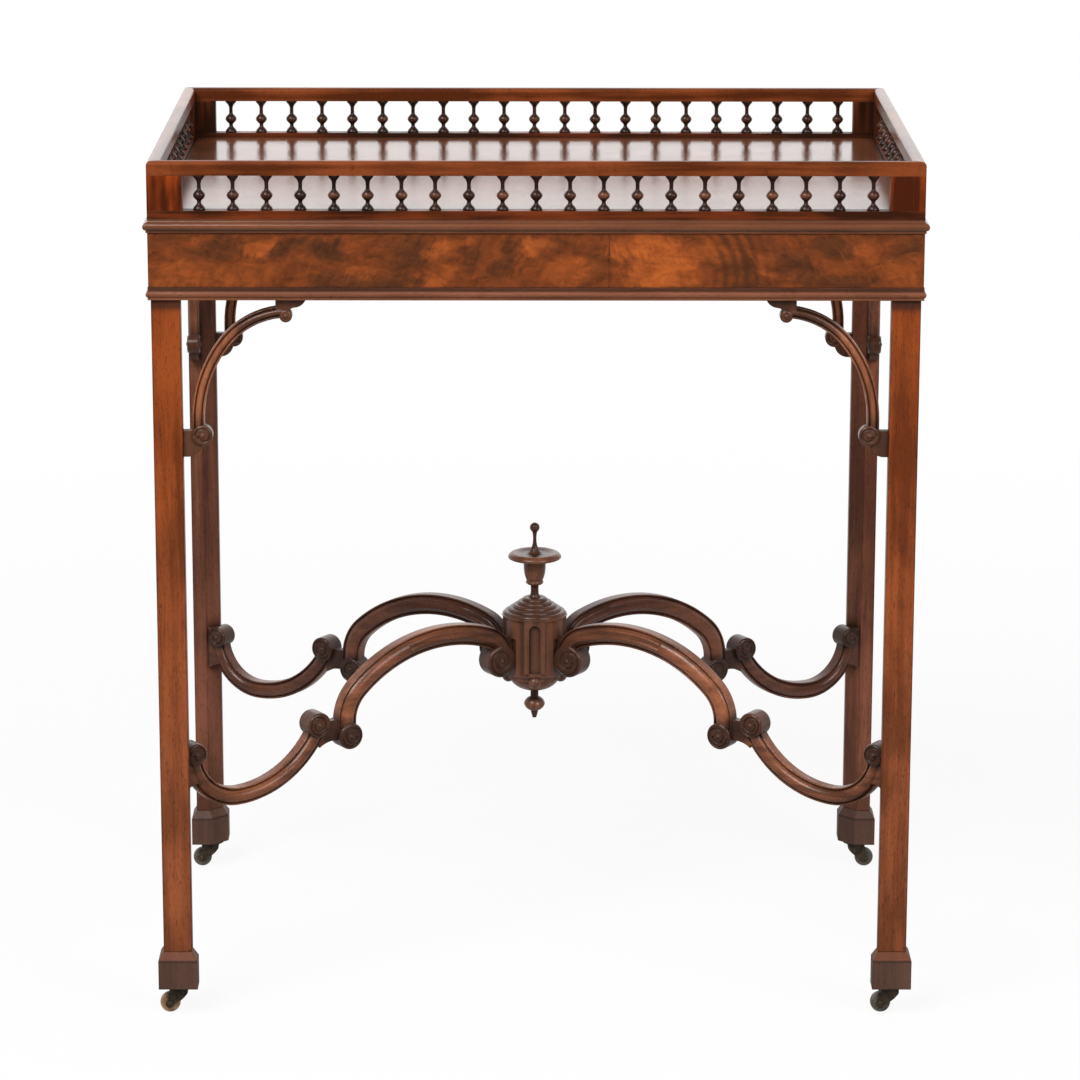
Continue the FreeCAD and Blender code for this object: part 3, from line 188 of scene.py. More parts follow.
def swing(tree, tone, amount, base, clamp=False):
    """A tone's swing about its middle, added to a base."""
    return sums(tree, "MULTIPLY_ADD", sums(tree, "SUBTRACT", tone, 0.5), amount, base, clamp)


def distance(tree, value, centre):
    return sums(tree, "ABSOLUTE", sums(tree, "SUBTRACT", value, centre))


def hypotenuse(tree, across, above):
    squares = sums(tree, "MULTIPLY_ADD", across, across, sums(tree, "MULTIPLY", above, above))
    return sums(tree, "SQRT", squares)


def blend(tree, share, first, second):
    node = place(tree, "ShaderNodeMix", data_type="RGBA", blend_type="MIX", clamp_factor=True)
    feed(tree, node, {0: share, 6: first, 7: second})
    return node.outputs[2]


def blend_tones(tree, share, first, second):
    """Pale and deep tone, each blended from one finish to the other."""
    return [blend(tree, share, tone, other) for tone, other in zip(first, second)]


FLOAT, COLOUR, VECTOR = "NodeSocketFloat", "NodeSocketColor", "NodeSocketVector"


def group(name, takes, gives):
    """An empty node group with its sockets; returns the tree, its input sockets and its output node."""
    tree = bpy.data.node_groups.new(name, "ShaderNodeTree")
    for socket, kind, default in takes:
        made = tree.interface.new_socket(socket, in_out="INPUT", socket_type=kind)
        if default is not None:
            made.default_value = default
    for socket, kind in gives:
        tree.interface.new_socket(socket, in_out="OUTPUT", socket_type=kind)
    source = tree.nodes.new("NodeGroupInput")
    result = tree.nodes.new("NodeGroupOutput")
    return tree, source.outputs, result


def use(tree, made, inputs):
    node = place(tree, "ShaderNodeGroup", node_tree=made)
    feed(tree, node, inputs)
    return node.outputs


# Shared effects

MARK_STRENGTH = 0.3
DULL_IN_HOLLOWS = 0.3


def make_timber_figure():
    """Straight mahogany: ribbon stripe, fibres, pores and slow changes of tone; the grain runs along Z."""
    tree, take, give = group("timber_figure", [
        ("Vector", VECTOR, None), ("Pale", COLOUR, None), ("Deep", COLOUR, None),
        ("Ribbon", FLOAT, 0.4), ("Fibre", FLOAT, 0.35), ("Cloud", FLOAT, 0.6), ("Pores", FLOAT, 0.5),
    ], [("Color", COLOUR), ("Height", FLOAT)])
    sway = noise(tree, take["Vector"], (7.0, 7.0, 3.0), detail=1.0, gives="Color")
    sway = vectors(tree, "SUBTRACT", sway, (0.5, 0.5, 0.5))
    sway = vectors(tree, "MULTIPLY", sway, (0.012, 0.012, 0.0))
    grain = vectors(tree, "ADD", take["Vector"], sway)
    ribbon = noise(tree, grain, (150.0, 150.0, 5.0))
    fibre = noise(tree, grain, (900.0, 900.0, 22.0), detail=3.0, roughness=0.6)
    pores = noise(tree, grain, (2300.0, 2300.0, 190.0), detail=1.0)
    cloud = noise(tree, take["Vector"], (22.0, 22.0, 9.0), detail=3.0, roughness=0.55)
    pores = sums(tree, "MULTIPLY", spread(tree, pores, 0.60, 0.72), take["Pores"])
    share = 0.5
    for tone, weight, reach in ((ribbon, "Ribbon", 2.0), (fibre, "Fibre", 2.0), (cloud, "Cloud", 2.4)):
        share = swing(tree, tone, sums(tree, "MULTIPLY", take[weight], reach), share)
    share = sums(tree, "ADD", share, 0.0, clamp=True)
    colour = blend(tree, share, take["Deep"], take["Pale"])
    colour = blend(tree, pores, colour, PORE)
    height = sums(tree, "MULTIPLY_ADD", fibre, 0.5, sums(tree, "MULTIPLY", pores, -0.6))
    feed(tree, give, {"Color": colour, "Height": height})
    return tree


def make_age_wear_and_painted_light():
    """Small marks, grime and painted shade in the hollows, rubbed edges that are partly a painted highlight,
    and the soft arris that the edges have worn to.
    """
    tree, take, give = group("age_wear_and_painted_light", [
        ("Color", COLOUR, None), ("Hollow", FLOAT, 0.8), ("Reach", FLOAT, 0.012), ("Edge mark", FLOAT, 0.35),
        ("Grime and shade", COLOUR, WOOD_GRIME_AND_SHADE), ("Edge tone", COLOUR, BARE_WOOD_AND_HIGHLIGHT),
        ("Arris", FLOAT, 0.0008), ("Vector", VECTOR, None),
    ], [("Color", COLOUR), ("Dull", FLOAT), ("Normal", VECTOR)])
    shade = place(tree, "ShaderNodeAmbientOcclusion", {"Distance": take["Reach"]}, samples=6).outputs["AO"]
    patch = noise(tree, take["Vector"], (60.0, 60.0, 60.0), detail=3.0, roughness=0.6)
    # painted shade: ambient occlusion darkens hollows, creases and corners, mixed with grime
    hollow = sums(tree, "MULTIPLY", spread(tree, shade, 0.93, 0.42), spread(tree, patch, 0.2, 0.6, 0.75, 1.0))
    hollow = sums(tree, "MULTIPLY", hollow, take["Hollow"], clamp=True)
    arris = place(tree, "ShaderNodeBevel", {"Radius": take["Arris"]}, samples=4).outputs["Normal"]
    flat = place(tree, "ShaderNodeNewGeometry").outputs["Normal"]
    turn = vectors(tree, "DOT_PRODUCT", arris, flat, "Value")
    # edge mark: rubbed edges, which in the pale bare-wood tone are also a painted highlight along the arrises
    edge = sums(tree, "MULTIPLY", spread(tree, turn, 0.985, 0.86), spread(tree, patch, 0.36, 0.62))
    edge = sums(tree, "MULTIPLY", edge, spread(tree, shade, 0.55, 0.85))
    edge = sums(tree, "MULTIPLY", edge, take["Edge mark"], clamp=True)
    marks = noise(tree, take["Vector"], (170.0, 170.0, 100.0), detail=4.0, roughness=0.62)
    marks = sums(tree, "MULTIPLY", spread(tree, marks, 0.60, 0.74), MARK_STRENGTH, clamp=True)
    colour = blend(tree, marks, take["Color"], take["Grime and shade"])
    colour = blend(tree, edge, colour, take["Edge tone"])
    colour = blend(tree, hollow, colour, take["Grime and shade"])
    feed(tree, give, {"Color": colour, "Dull": hollow, "Normal": arris})
    return tree


def make_hand_polish():
    """Hand-rubbed polish: gloss that comes and goes."""
    tree, take, give = group("hand_polish", [
        ("Vector", VECTOR, None), ("Gloss", FLOAT, 0.25), ("Uneven", FLOAT, 0.12), ("Dull", FLOAT, 0.0),
    ], [("Roughness", FLOAT)])
    slow = noise(tree, take["Vector"], (28.0, 28.0, 28.0), detail=3.0, roughness=0.6)
    fine = noise(tree, take["Vector"], (420.0, 420.0, 420.0))
    mixed = sums(tree, "MULTIPLY_ADD", fine, 0.3, sums(tree, "MULTIPLY", slow, 0.7))
    rough = sums(tree, "MULTIPLY_ADD", sums(tree, "SUBTRACT", mixed, 0.4), take["Uneven"], take["Gloss"])
    rough = sums(tree, "MULTIPLY_ADD", take["Dull"], DULL_IN_HOLLOWS, rough, clamp=True)
    feed(tree, give, {"Roughness": rough})
    return tree


# patches of the flame figure: place along the strip and up from its lower edge, half length and half height,
# in millimetres, then lean and strength
SMOKE_PATCHES = (
    (-312, 43, 22, 5, 0.0, 0.55), (-268, 35, 24, 11, 0.5, 0.75), (-215, 35, 14, 12, 0.8, 0.9),
    (-181, 35, 19, 10, 0.4, 1.0), (-168, 8, 28, 10, 0.6, 0.9), (-120, 9, 24, 12, 0.5, 0.85),
    (-108, 34, 22, 15, 0.3, 0.95), (-55, 26, 6, 20, 0.3, 0.55), (-26, 27, 13, 20, 0.4, 0.8),
    (20, 40, 20, 8, 0.2, 0.35), (52, 24, 12, 22, 0.2, 0.45), (176, 18, 16, 18, -0.7, 0.7),
    (220, 22, 20, 20, -0.9, 0.9), (256, 39, 22, 11, -0.6, 0.9), (262, 8, 28, 8, -0.4, 0.85),
    (321, 41, 14, 8, 0.0, 0.8),
)
AMBER_PATCHES = (
    (-300, 15, 30, 13, 0.6, 0.35), (-233, 37, 15, 7, 0.9, 0.6), (-245, 12, 22, 9, 0.7, 0.25),
    (-153, 15, 16, 8, 0.9, 0.55), (-76, 38, 18, 9, 0.5, 0.6), (-86, 11, 15, 10, 0.5, 0.45),
    (-5, 38, 16, 8, 0.6, 0.75), (30, 18, 24, 12, 0.4, 0.45), (102, 34, 34, 13, -0.5, 1.0),
    (108, 14, 34, 13, -0.4, 0.85), (150, 36, 20, 10, -0.6, 0.6), (202, 23, 12, 12, -0.8, 0.5),
    (280, 31, 15, 12, -0.7, 0.25), (312, 16, 15, 13, -0.5, 0.3),
)
FEATHER_LEAN = math.radians(64)
RING_CENTRE = (0.112, 0.012, 0.0)
RINGS_START = (0.135, 0.16)
RINGS_END = (0.215, 0.18)
RING_STRENGTH = 0.62
SMOKE_STRENGTH = 0.85
PATCH_EDGE = (1.35, 0.45)


def patch_mask(tree, along, up, patches):
    """Mask of soft, leaning patches."""
    mask = None
    for x, z, long, tall, tilt, strength in patches:
        rise = sums(tree, "MULTIPLY_ADD", up, 1000.0 / tall, -z / tall)
        run = sums(tree, "MULTIPLY_ADD", along, 1000.0 / long, -x / long)
        run = sums(tree, "MULTIPLY_ADD", rise, -tilt * tall / long, run)
        patch = spread(tree, hypotenuse(tree, run, rise), *PATCH_EDGE, 0.0, strength, soft=True)
        mask = patch if mask is None else sums(tree, "MAXIMUM", mask, patch)
    return mask


def make_flame_figure():
    """Crotch veneer: smoky and amber patches with feathered edges, rings on one leaf and feather strokes."""
    tree, take, give = group("flame_figure", [("Along", FLOAT, 0.0), ("Up", FLOAT, 0.0)],
                             [("Color", COLOUR), ("Height", FLOAT)])
    spot = place(tree, "ShaderNodeCombineXYZ", {"X": take["Along"], "Y": take["Up"]}).outputs["Vector"]
    matched = distance(tree, take["Along"], VENEER_JOINT)
    leaf_spot = place(tree, "ShaderNodeCombineXYZ", {"X": matched, "Y": take["Up"]}).outputs["Vector"]
    lean = place(tree, "ShaderNodeVectorRotate", {"Vector": leaf_spot, "Angle": FEATHER_LEAN},
                 rotation_type="Z_AXIS").outputs["Vector"]
    mottle = noise(tree, spot, (55.0, 110.0, 1.0), detail=5.0, roughness=0.65, distortion=0.8)
    feather = noise(tree, lean, (38.0, 150.0, 1.0), detail=4.0, roughness=0.55, distortion=1.2)
    fine = noise(tree, lean, (220.0, 1500.0, 1.0), detail=3.0, roughness=0.6)
    warp = noise(tree, spot, (34.0, 46.0, 1.0), detail=4.0, roughness=0.6, gives="Color")
    warp = place(tree, "ShaderNodeSeparateColor", {"Color": warp}).outputs
    along = swing(tree, warp["Red"], 0.060, take["Along"])
    along = swing(tree, feather, 0.020, along)
    up = swing(tree, warp["Green"], 0.030, take["Up"])
    up = swing(tree, feather, 0.012, up)
    smoky = patch_mask(tree, along, up, SMOKE_PATCHES)
    ambered = patch_mask(tree, along, up, AMBER_PATCHES)
    rings = place(tree, "ShaderNodeTexWave", {
        "Vector": vectors(tree, "SUBTRACT", spot, RING_CENTRE), "Scale": 35.0, "Distortion": 1.6,
        "Detail": 2.0, "Detail Scale": 2.0}, wave_type="RINGS", rings_direction="SPHERICAL").outputs["Fac"]
    rings = sums(tree, "MULTIPLY", rings, spread(tree, take["Along"], *RINGS_START))
    rings = sums(tree, "MULTIPLY", rings, spread(tree, take["Along"], *RINGS_END, 0.0, RING_STRENGTH))
    tone = swing(tree, feather, 0.8, 0.5)
    tone = swing(tree, mottle, 1.8, tone)
    tone = swing(tree, fine, 0.6, tone, clamp=True)
    figures = [blend(tree, tone, deep, pale) for pale, deep in (FLAME_TONES, AMBER_TONES, SMOKE_TONES)]
    flame, amber, smoke = figures
    colour = blend(tree, ambered, flame, amber)
    colour = blend(tree, sums(tree, "MULTIPLY", smoky, SMOKE_STRENGTH), colour, smoke)
    colour = blend(tree, rings, colour, RING_SHADE)
    feed(tree, give, {"Color": colour, "Height": fine})
    return tree


timber_figure = make_timber_figure()
flame_figure = make_flame_figure()
age_wear_and_painted_light = make_age_wear_and_painted_light()
hand_polish = make_hand_polish()


# Helpers for the finishes

# turns that lay the grain, which runs along Z in the figure, along a piece
GRAIN = {
    "upright": (0.0, 0.0, 0.0),
    "along_x": (0.0, math.radians(90), 0.0),
    "along_y": (math.radians(90), 0.0, 0.0),
    "towards_back_right": (0.0, math.radians(90), ARM_TURN),
    "towards_back_left": (0.0, math.radians(90), -ARM_TURN),
}
FIBRE_RELIEF = 0.05
COAT_ROUGHNESS = 0.2
WOOD_IOR = 1.5


def new_material(name):
    """A material with its tree, its shader and the place on the piece that its textures follow."""
    material = bpy.data.materials.new(name)
    material.use_nodes = True
    tree = material.node_tree
    tree.nodes.clear()
    output = tree.nodes.new("ShaderNodeOutputMaterial")
    shader = tree.nodes.new("ShaderNodeBsdfPrincipled")
    tree.links.new(shader.outputs["BSDF"], output.inputs["Surface"])
    where = place(tree, "ShaderNodeTexCoord").outputs["Object"]
    return material, tree, shader, where


def facing_up(tree):
    """How far a face looks up: 1 for level faces, -1 for undersides."""
    return axis_of(tree, place(tree, "ShaderNodeNewGeometry").outputs["Normal"], "Z")


def off_axis(tree, where):
    """Distance from the table's upright axis."""
    return length_of(tree, vectors(tree, "MULTIPLY", where, (1.0, 1.0, 0.0)))


def wood_figure(tree, where, lie, tones, **strengths):
    """Straight figure with its grain laid along a piece."""
    pale, deep = tones
    grain = place(tree, "ShaderNodeVectorRotate", {"Vector": where, "Rotation": GRAIN[lie]},
                  rotation_type="EULER_XYZ", invert=True).outputs["Vector"]
    return use(tree, timber_figure, {"Vector": grain, "Pale": pale, "Deep": deep, **strengths})


def finish_wood(tree, shader, where, colour, height, gloss=0.36, uneven=0.16, hollow=0.8, rub=0.35,
                reach=0.012, shine=0.2, coat=0.0, edge_tone=BARE_WOOD_AND_HIGHLIGHT, arris=0.0008):
    aged_and_painted_light = use(tree, age_wear_and_painted_light, {
        "Color": colour, "Hollow": hollow, "Edge mark": rub, "Reach": reach, "Vector": where, "Edge tone": edge_tone,
        "Arris": arris})
    polish = use(tree, hand_polish, {"Vector": where, "Gloss": gloss, "Uneven": uneven, "Dull": aged_and_painted_light["Dull"]})
    relief = place(tree, "ShaderNodeBump", {
        "Height": height, "Normal": aged_and_painted_light["Normal"], "Strength": FIBRE_RELIEF, "Distance": 0.0004})
    feed(tree, shader, {
        "Base Color": aged_and_painted_light["Color"], "Roughness": polish["Roughness"], "Normal": relief.outputs["Normal"],
        "Specular IOR Level": shine, "Coat Weight": coat, "Coat Roughness": COAT_ROUGHNESS, "IOR": WOOD_IOR})


def straight_mahogany(name, lie, tones, ribbon=0.8, cloud=0.8, **finish):
    material, tree, shader, where = new_material(name)
    figure = wood_figure(tree, where, lie, tones, Ribbon=ribbon, Cloud=cloud)
    finish_wood(tree, shader, where, figure["Color"], figure["Height"], **finish)
    return material


# Finishes of this table

# the edge mark on carved pieces is rubbed wear and a painted highlight on the ridges
CARVED = {"gloss": 0.25, "hollow": 0.65, "rub": 0.55, "reach": 0.014, "shine": 0.38}
BRACKET = dict(CARVED, rub=0.2)
LEG = {"gloss": 0.4, "rub": 1.6, "arris": 0.0022, "edge_tone": BARE_LEG_EDGE}


def frieze_veneer(name, axis, hand, shift, joint=None):
    """Flame veneer on one side of the frieze; hand and shift choose the leaf's stretch of figure."""
    material, tree, shader, where = new_material(name)
    along = sums(tree, "MULTIPLY_ADD", axis_of(tree, where, axis), hand, shift)
    up = sums(tree, "SUBTRACT", axis_of(tree, where, "Z"), FRIEZE_FOOT)
    figure = use(tree, flame_figure, {"Along": along, "Up": up})
    colour = figure["Color"]
    if joint is not None:
        seam = spread(tree, distance(tree, along, joint), 0.0008, 0.0003, 0.0, 0.4)
        colour = blend(tree, seam, colour, PORE)
    finish_wood(tree, shader, where, colour, figure["Height"], gloss=0.3, hollow=0.9, rub=0.2, reach=0.010,
                coat=0.06)
    return material


def polished_top():
    """Polished above, dry and unpolished below."""
    material, tree, shader, where = new_material("polished_tray_top")
    below = spread(tree, facing_up(tree), -0.3, -0.8)
    tones = blend_tones(tree, below, TRAY_TONES, TRAY_UNDERSIDE_TONES)
    figure = wood_figure(tree, where, "along_x", tones, Ribbon=0.5, Cloud=0.6, Pores=0.3)
    gloss = spread(tree, below, 0.0, 1.0, 0.15, 0.75)
    finish_wood(tree, shader, where, figure["Color"], figure["Height"], gloss=gloss, uneven=0.14, hollow=1.0,
                rub=0.3, shine=0.48)
    return material


def turned_spindle(name, rub_share):
    """Nearly black mahogany, with a painted highlight round the belly of some of the beads."""
    material, tree, shader, where = new_material(name)
    figure = wood_figure(tree, where, "upright", SPINDLE_TONES, Cloud=1.0)
    belly = distance(tree, axis_of(tree, where, "Z"), BEAD_BELLY)
    spot = noise(tree, where, (38.0, 38.0, 4.0), detail=1.0)
    # painted highlight: a paler belt round the widest part of the beads
    rubbed = sums(tree, "MULTIPLY", spread(tree, belly, 0.0040, 0.0008),
                  spread(tree, spot, 0.40, 0.62, 0.05, rub_share))
    colour = blend(tree, rubbed, figure["Color"], PAINTED_BEAD_HIGHLIGHT)
    finish_wood(tree, shader, where, colour, figure["Height"], gloss=0.27, hollow=1.0, rub=0.5, reach=0.008,
                shine=0.35)
    return material


def gallery_stile():
    """Red mahogany at the front, darker on the other three sides."""
    material, tree, shader, where = new_material("stile_mahogany")
    behind = spread(tree, axis_of(tree, where, "Y"), *FRONT_TO_SIDE_STILES)
    tones = blend_tones(tree, behind, FRONT_STILE_TONES, OTHER_STILE_TONES)
    figure = wood_figure(tree, where, "upright", tones, Ribbon=1.7, Cloud=1.9)
    finish_wood(tree, shader, where, figure["Color"], figure["Height"], shine=0.1)
    return material


def bead_moulding(name, lie):
    """Mahogany moulding with a rubbed bead, partly a painted highlight, and painted shade in the quirk above
    it.
    """
    material, tree, shader, where = new_material(name)
    figure = wood_figure(tree, where, lie, MOULDING_TONES, Ribbon=0.8, Cloud=0.8)
    # painted shade in the quirk under the frieze
    dark = spread(tree, axis_of(tree, where, "Z"), *MOULDING_QUIRK, 0.0, 0.75)
    colour = blend(tree, dark, figure["Color"], PAINTED_QUIRK_SHADE)
    finish_wood(tree, shader, where, colour, figure["Height"], hollow=1.0, rub=0.6, reach=0.008)
    return material


def square_leg(name, tones, low_tones):
    """Leg mahogany that turns browner towards the foot, with a painted shadow of the moulding across its
    head.
    """
    material, tree, shader, where = new_material(name)
    level = axis_of(tree, where, "Z")
    tones = blend_tones(tree, spread(tree, level, *LEG_BROWNING), tones, low_tones)
    figure = wood_figure(tree, where, "upright", tones, Ribbon=0.8, Fibre=0.6, Cloud=1.5, Pores=0.8)
    # painted shadow of the moulding across the head of the leg
    colour = blend(tree, spread(tree, level, *LEG_HEAD, 0.0, 0.75), figure["Color"], OLD_POLISH_AND_SHADE)
    finish_wood(tree, shader, where, colour, figure["Height"], **LEG)
    return material


def dark_foot(name, bevel_tones):
    """Worn dark block with a bevel of its own colour above it."""
    material, tree, shader, where = new_material(name)
    level = axis_of(tree, where, "Z")
    block = wood_figure(tree, where, "upright", FOOT_TONES)
    bevel = wood_figure(tree, where, "upright", bevel_tones)
    colour = blend(tree, spread(tree, level, *FOOT_BLOCK_TO_BEVEL), block["Color"], bevel["Color"])
    seam = spread(tree, distance(tree, level, FOOT_SEAM), 0.0014, 0.0005, 0.0, 0.7)
    colour = blend(tree, seam, colour, FOOT_SEAM_DIRT)
    finish_wood(tree, shader, where, colour, block["Height"], gloss=0.46, rub=0.6, arris=0.0012,
                edge_tone=BARE_FOOT_EDGE)
    return material


def carved_arm(name, lie, tones):
    """Mahogany that old polish has darkened on the scrolls and round the boss."""
    material, tree, shader, where = new_material(name)
    figure = wood_figure(tree, where, lie, tones, Ribbon=0.8, Cloud=1.0)
    out = off_axis(tree, where)
    level = axis_of(tree, where, "Z")
    dark = spread(tree, out, *ARM_NEAR_BOSS, 0.0, 0.62)
    for eye_out, eye_level, radius in ARM_SCROLLS:
        across = sums(tree, "SUBTRACT", out, eye_out)
        above = sums(tree, "SUBTRACT", level, eye_level)
        reach = hypotenuse(tree, across, above)
        dark = sums(tree, "MAXIMUM", dark, spread(tree, reach, radius + 0.007, radius - 0.001, 0.0, 0.82))
    colour = blend(tree, dark, figure["Color"], OLD_POLISH_AND_SHADE)
    finish_wood(tree, shader, where, colour, figure["Height"], **CARVED)
    return material


def carved_bracket():
    """Bracket mahogany, dark on the foot scroll and on the head under the moulding."""
    material, tree, shader, where = new_material("bracket_mahogany")
    figure = wood_figure(tree, where, "upright", ARM_TONES, Ribbon=0.8, Cloud=1.0)
    level = axis_of(tree, where, "Z")
    dark = sums(tree, "MAXIMUM", spread(tree, level, *BRACKET_FOOT_SCROLL, 0.0, 0.7),
                spread(tree, level, *BRACKET_HEAD, 0.0, 0.7))
    colour = blend(tree, dark, figure["Color"], OLD_POLISH_AND_SHADE)
    finish_wood(tree, shader, where, colour, figure["Height"], **BRACKET)
    return material


def fluted_boss():
    """Boss mahogany, dark on the ringed shoulder."""
    material, tree, shader, where = new_material("boss_mahogany")
    figure = wood_figure(tree, where, "upright", BOSS_TONES, Ribbon=0.8, Cloud=0.8)
    dark = spread(tree, axis_of(tree, where, "Z"), *BOSS_SHOULDER, 0.0, 0.5)
    colour = blend(tree, dark, figure["Color"], OLD_POLISH_AND_SHADE)
    finish_wood(tree, shader, where, colour, figure["Height"], **CARVED)
    return material


def dished_finial():
    """Boss mahogany with dirt in the dish round the stem and dark, thin necks."""
    material, tree, shader, where = new_material("finial_mahogany")
    figure = wood_figure(tree, where, "upright", BOSS_TONES, Ribbon=0.8, Cloud=1.0)
    out = off_axis(tree, where)
    dish = spread(tree, out, *FINIAL_DISH, 0.0, 0.8)
    dish_dirt_and_dark_necks = sums(tree, "MULTIPLY", spread(tree, facing_up(tree), 0.5, 0.9), dish)
    # darker on the thin necks
    dish_dirt_and_dark_necks = sums(tree, "MAXIMUM", dish_dirt_and_dark_necks, spread(tree, out, *FINIAL_NECK, 0.0, 0.7))
    colour = blend(tree, dish_dirt_and_dark_necks, figure["Color"], DISH_DIRT_AND_DARK_NECK)
    finish_wood(tree, shader, where, colour, figure["Height"], **CARVED)
    return material


def old_brass(name, tones, gloss, metal, hollow=0.9):
    """Brass gone brown: bright metal on the rubbed parts, brown tarnish and black dirt elsewhere, and painted
    shade in the hollows.
    """
    material, tree, shader, where = new_material(name)
    bright, dark = tones
    blotch = noise(tree, where, (180.0, 180.0, 180.0), detail=4.0, roughness=0.65)
    speck = noise(tree, where, (900.0, 900.0, 900.0))
    share = spread(tree, sums(tree, "MULTIPLY_ADD", speck, 0.35, blotch), 0.48, 0.86)
    aged_and_painted_light = use(tree, age_wear_and_painted_light, {
        "Color": blend(tree, share, dark, bright), "Hollow": hollow, "Edge mark": 0.45, "Reach": 0.005,
        "Vector": where, "Arris": 0.0004, "Edge tone": BARE_BRASS, "Grime and shade": BRASS_GRIME_AND_SHADE})
    rough = sums(tree, "MULTIPLY_ADD", aged_and_painted_light["Dull"], 0.2, spread(tree, blotch, 0.3, 0.7, gloss + 0.16, gloss))
    relief = place(tree, "ShaderNodeBump", {
        "Height": speck, "Normal": aged_and_painted_light["Normal"], "Strength": 0.15, "Distance": 0.0003})
    feed(tree, shader, {
        "Base Color": aged_and_painted_light["Color"], "Metallic": metal, "Roughness": rough,
        "Normal": relief.outputs["Normal"]})
    return material


LEVEL_LIES = ("along_x", "along_y")
ARM_LIES = ("towards_back_right", "towards_back_left")
# the top edges of the front and back rails don't catch the light
TOP_RAIL_GLOSS = {"along_x": {"shine": 0.05, "coat": 0.0}, "along_y": {"shine": 0.2, "coat": 0.38}}

top_rail = {}
bottom_rail = {}
moulding = {}
for lie in LEVEL_LIES:
    # the top rails' edge mark is rubbed wear and a painted highlight along the top edge
    top_rail[lie] = straight_mahogany("top_rail_mahogany_" + lie, lie, RAIL_TONES, ribbon=1.6, cloud=1.8,
                                      gloss=0.3, rub=0.7, **TOP_RAIL_GLOSS[lie])
    bottom_rail[lie] = straight_mahogany("bottom_rail_mahogany_" + lie, lie, BOTTOM_RAIL_TONES, ribbon=1.6,
                                         cloud=1.6, gloss=0.3, shine=0.12)
    moulding[lie] = bead_moulding("moulding_mahogany_" + lie, lie)
front_arm = {lie: carved_arm("front_arm_mahogany_" + lie, lie, ARM_TONES) for lie in ARM_LIES}
# the rear arms take the painted-shade tone
rear_arm = {lie: carved_arm("rear_arm_mahogany_" + lie, lie, SHADED_REAR_ARM_TONES) for lie in ARM_LIES}
veneers = {
    "front": frieze_veneer("flame_veneer_front", "X", 1.0, 0.0, VENEER_JOINT),
    "back": frieze_veneer("flame_veneer_back", "X", -1.0, 0.0),
    "left": frieze_veneer("flame_veneer_left", "Y", -1.0, -0.10),
    "right": frieze_veneer("flame_veneer_right", "Y", 1.0, 0.10),
}
# the front row gets more of the painted bead highlight than the other rows
front_spindle = turned_spindle("front_spindle_mahogany", 0.65)
other_spindle = turned_spindle("spindle_mahogany", 0.3)
finial_wood = dished_finial()
deal = straight_mahogany("unpolished_deal", "along_x", DEAL_TONES, gloss=0.7)

# finishes by the start of a node's name; the first that fits is used
PLAIN_FINISHES = {
    "castor_plate_screws": old_brass("old_brass_screw", SCREW_TONES, 0.36, 0.6),
    "castor_wheel_front_left": old_brass("old_brass_wheel", TAN_WHEEL_TONES, 0.42, 0.2, hollow=0.5),
    "castor_wheel": old_brass("old_brass_grey_wheel", GREY_WHEEL_TONES, 0.42, 0.2, hollow=0.5),
    "castor": old_brass("old_brass_horn", HORN_TONES, 0.42, 0.6),
    "top_board": polished_top(),
    "leg_front": square_leg("front_leg_mahogany", LEG_TONES, LEG_LOW_TONES),
    # painted light on the upper right rear leg, painted shade on the rear legs
    "leg_back_right": square_leg("right_rear_leg_mahogany", LIT_RIGHT_REAR_LEG_TONES, SHADED_RIGHT_REAR_LEG_LOW_TONES),
    "leg_back": square_leg("rear_leg_mahogany", SHADED_REAR_LEG_TONES, SHADED_REAR_LEG_TONES),
    "foot_front": dark_foot("front_foot_mahogany", FRONT_BEVEL_TONES),
    "foot": dark_foot("rear_foot_mahogany", FOOT_TONES),
    "glue_blocks": deal,
    "frieze_rail": deal,
    "stretcher_boss": fluted_boss(),
    "stretcher_finial": finial_wood,
    "stretcher_pendant": finial_wood,
    "brackets": carved_bracket(),
    "gallery_spindles_front": front_spindle,
    "gallery_spindles": other_spindle,
    "gallery_stiles": gallery_stile(),
}
SIDE_FINISHES = {"gallery_top_rail": top_rail, "gallery_bottom_rail": bottom_rail, "lower_moulding": moulding}


def finish_of(name):
    side = name.rsplit("_", 1)[-1]
    if name.startswith("frieze_veneer"):
        return veneers[side]
    if name.startswith("stretcher_arm"):
        arms = front_arm if "_front_" in name else rear_arm
        rising = name.endswith(("front_left", "back_right"))
        return arms["towards_back_right" if rising else "towards_back_left"]
    for start, finishes in SIDE_FINISHES.items():
        if name.startswith(start):
            return finishes["along_x" if side in ("front", "back") else "along_y"]
    return next(finish for start, finish in PLAIN_FINISHES.items() if name.startswith(start))


for name, piece in nodes.items():
    piece.data.materials.clear()
    piece.data.materials.append(finish_of(name))


# Turned pieces, finer than the plain ones that they stand for
# outlines: height above the foot and radius, in millimetres

# domed foot, bead, thin neck, trumpet head
SPINDLE_OUTLINE = (
    (0.0, 5.1), (0.8, 5.15), (1.6, 4.95), (2.5, 4.45), (3.5, 3.65), (4.4, 2.75), (5.1, 2.1), (5.8, 1.8),
    (6.8, 1.75), (7.6, 1.8), (8.1, 2.1), (8.9, 2.95), (9.9, 3.95), (10.9, 4.7), (11.8, 5.1), (12.6, 5.2),
    (13.4, 5.1), (14.3, 4.7), (15.3, 3.95), (16.3, 2.95), (17.1, 2.1), (17.7, 1.8), (18.6, 1.72),
    (20.8, 1.68), (23.0, 1.72), (24.2, 1.95), (25.4, 2.5), (26.5, 3.3), (27.5, 4.2), (28.3, 4.85),
    (28.9, 5.1), (30.0, 5.15),
)
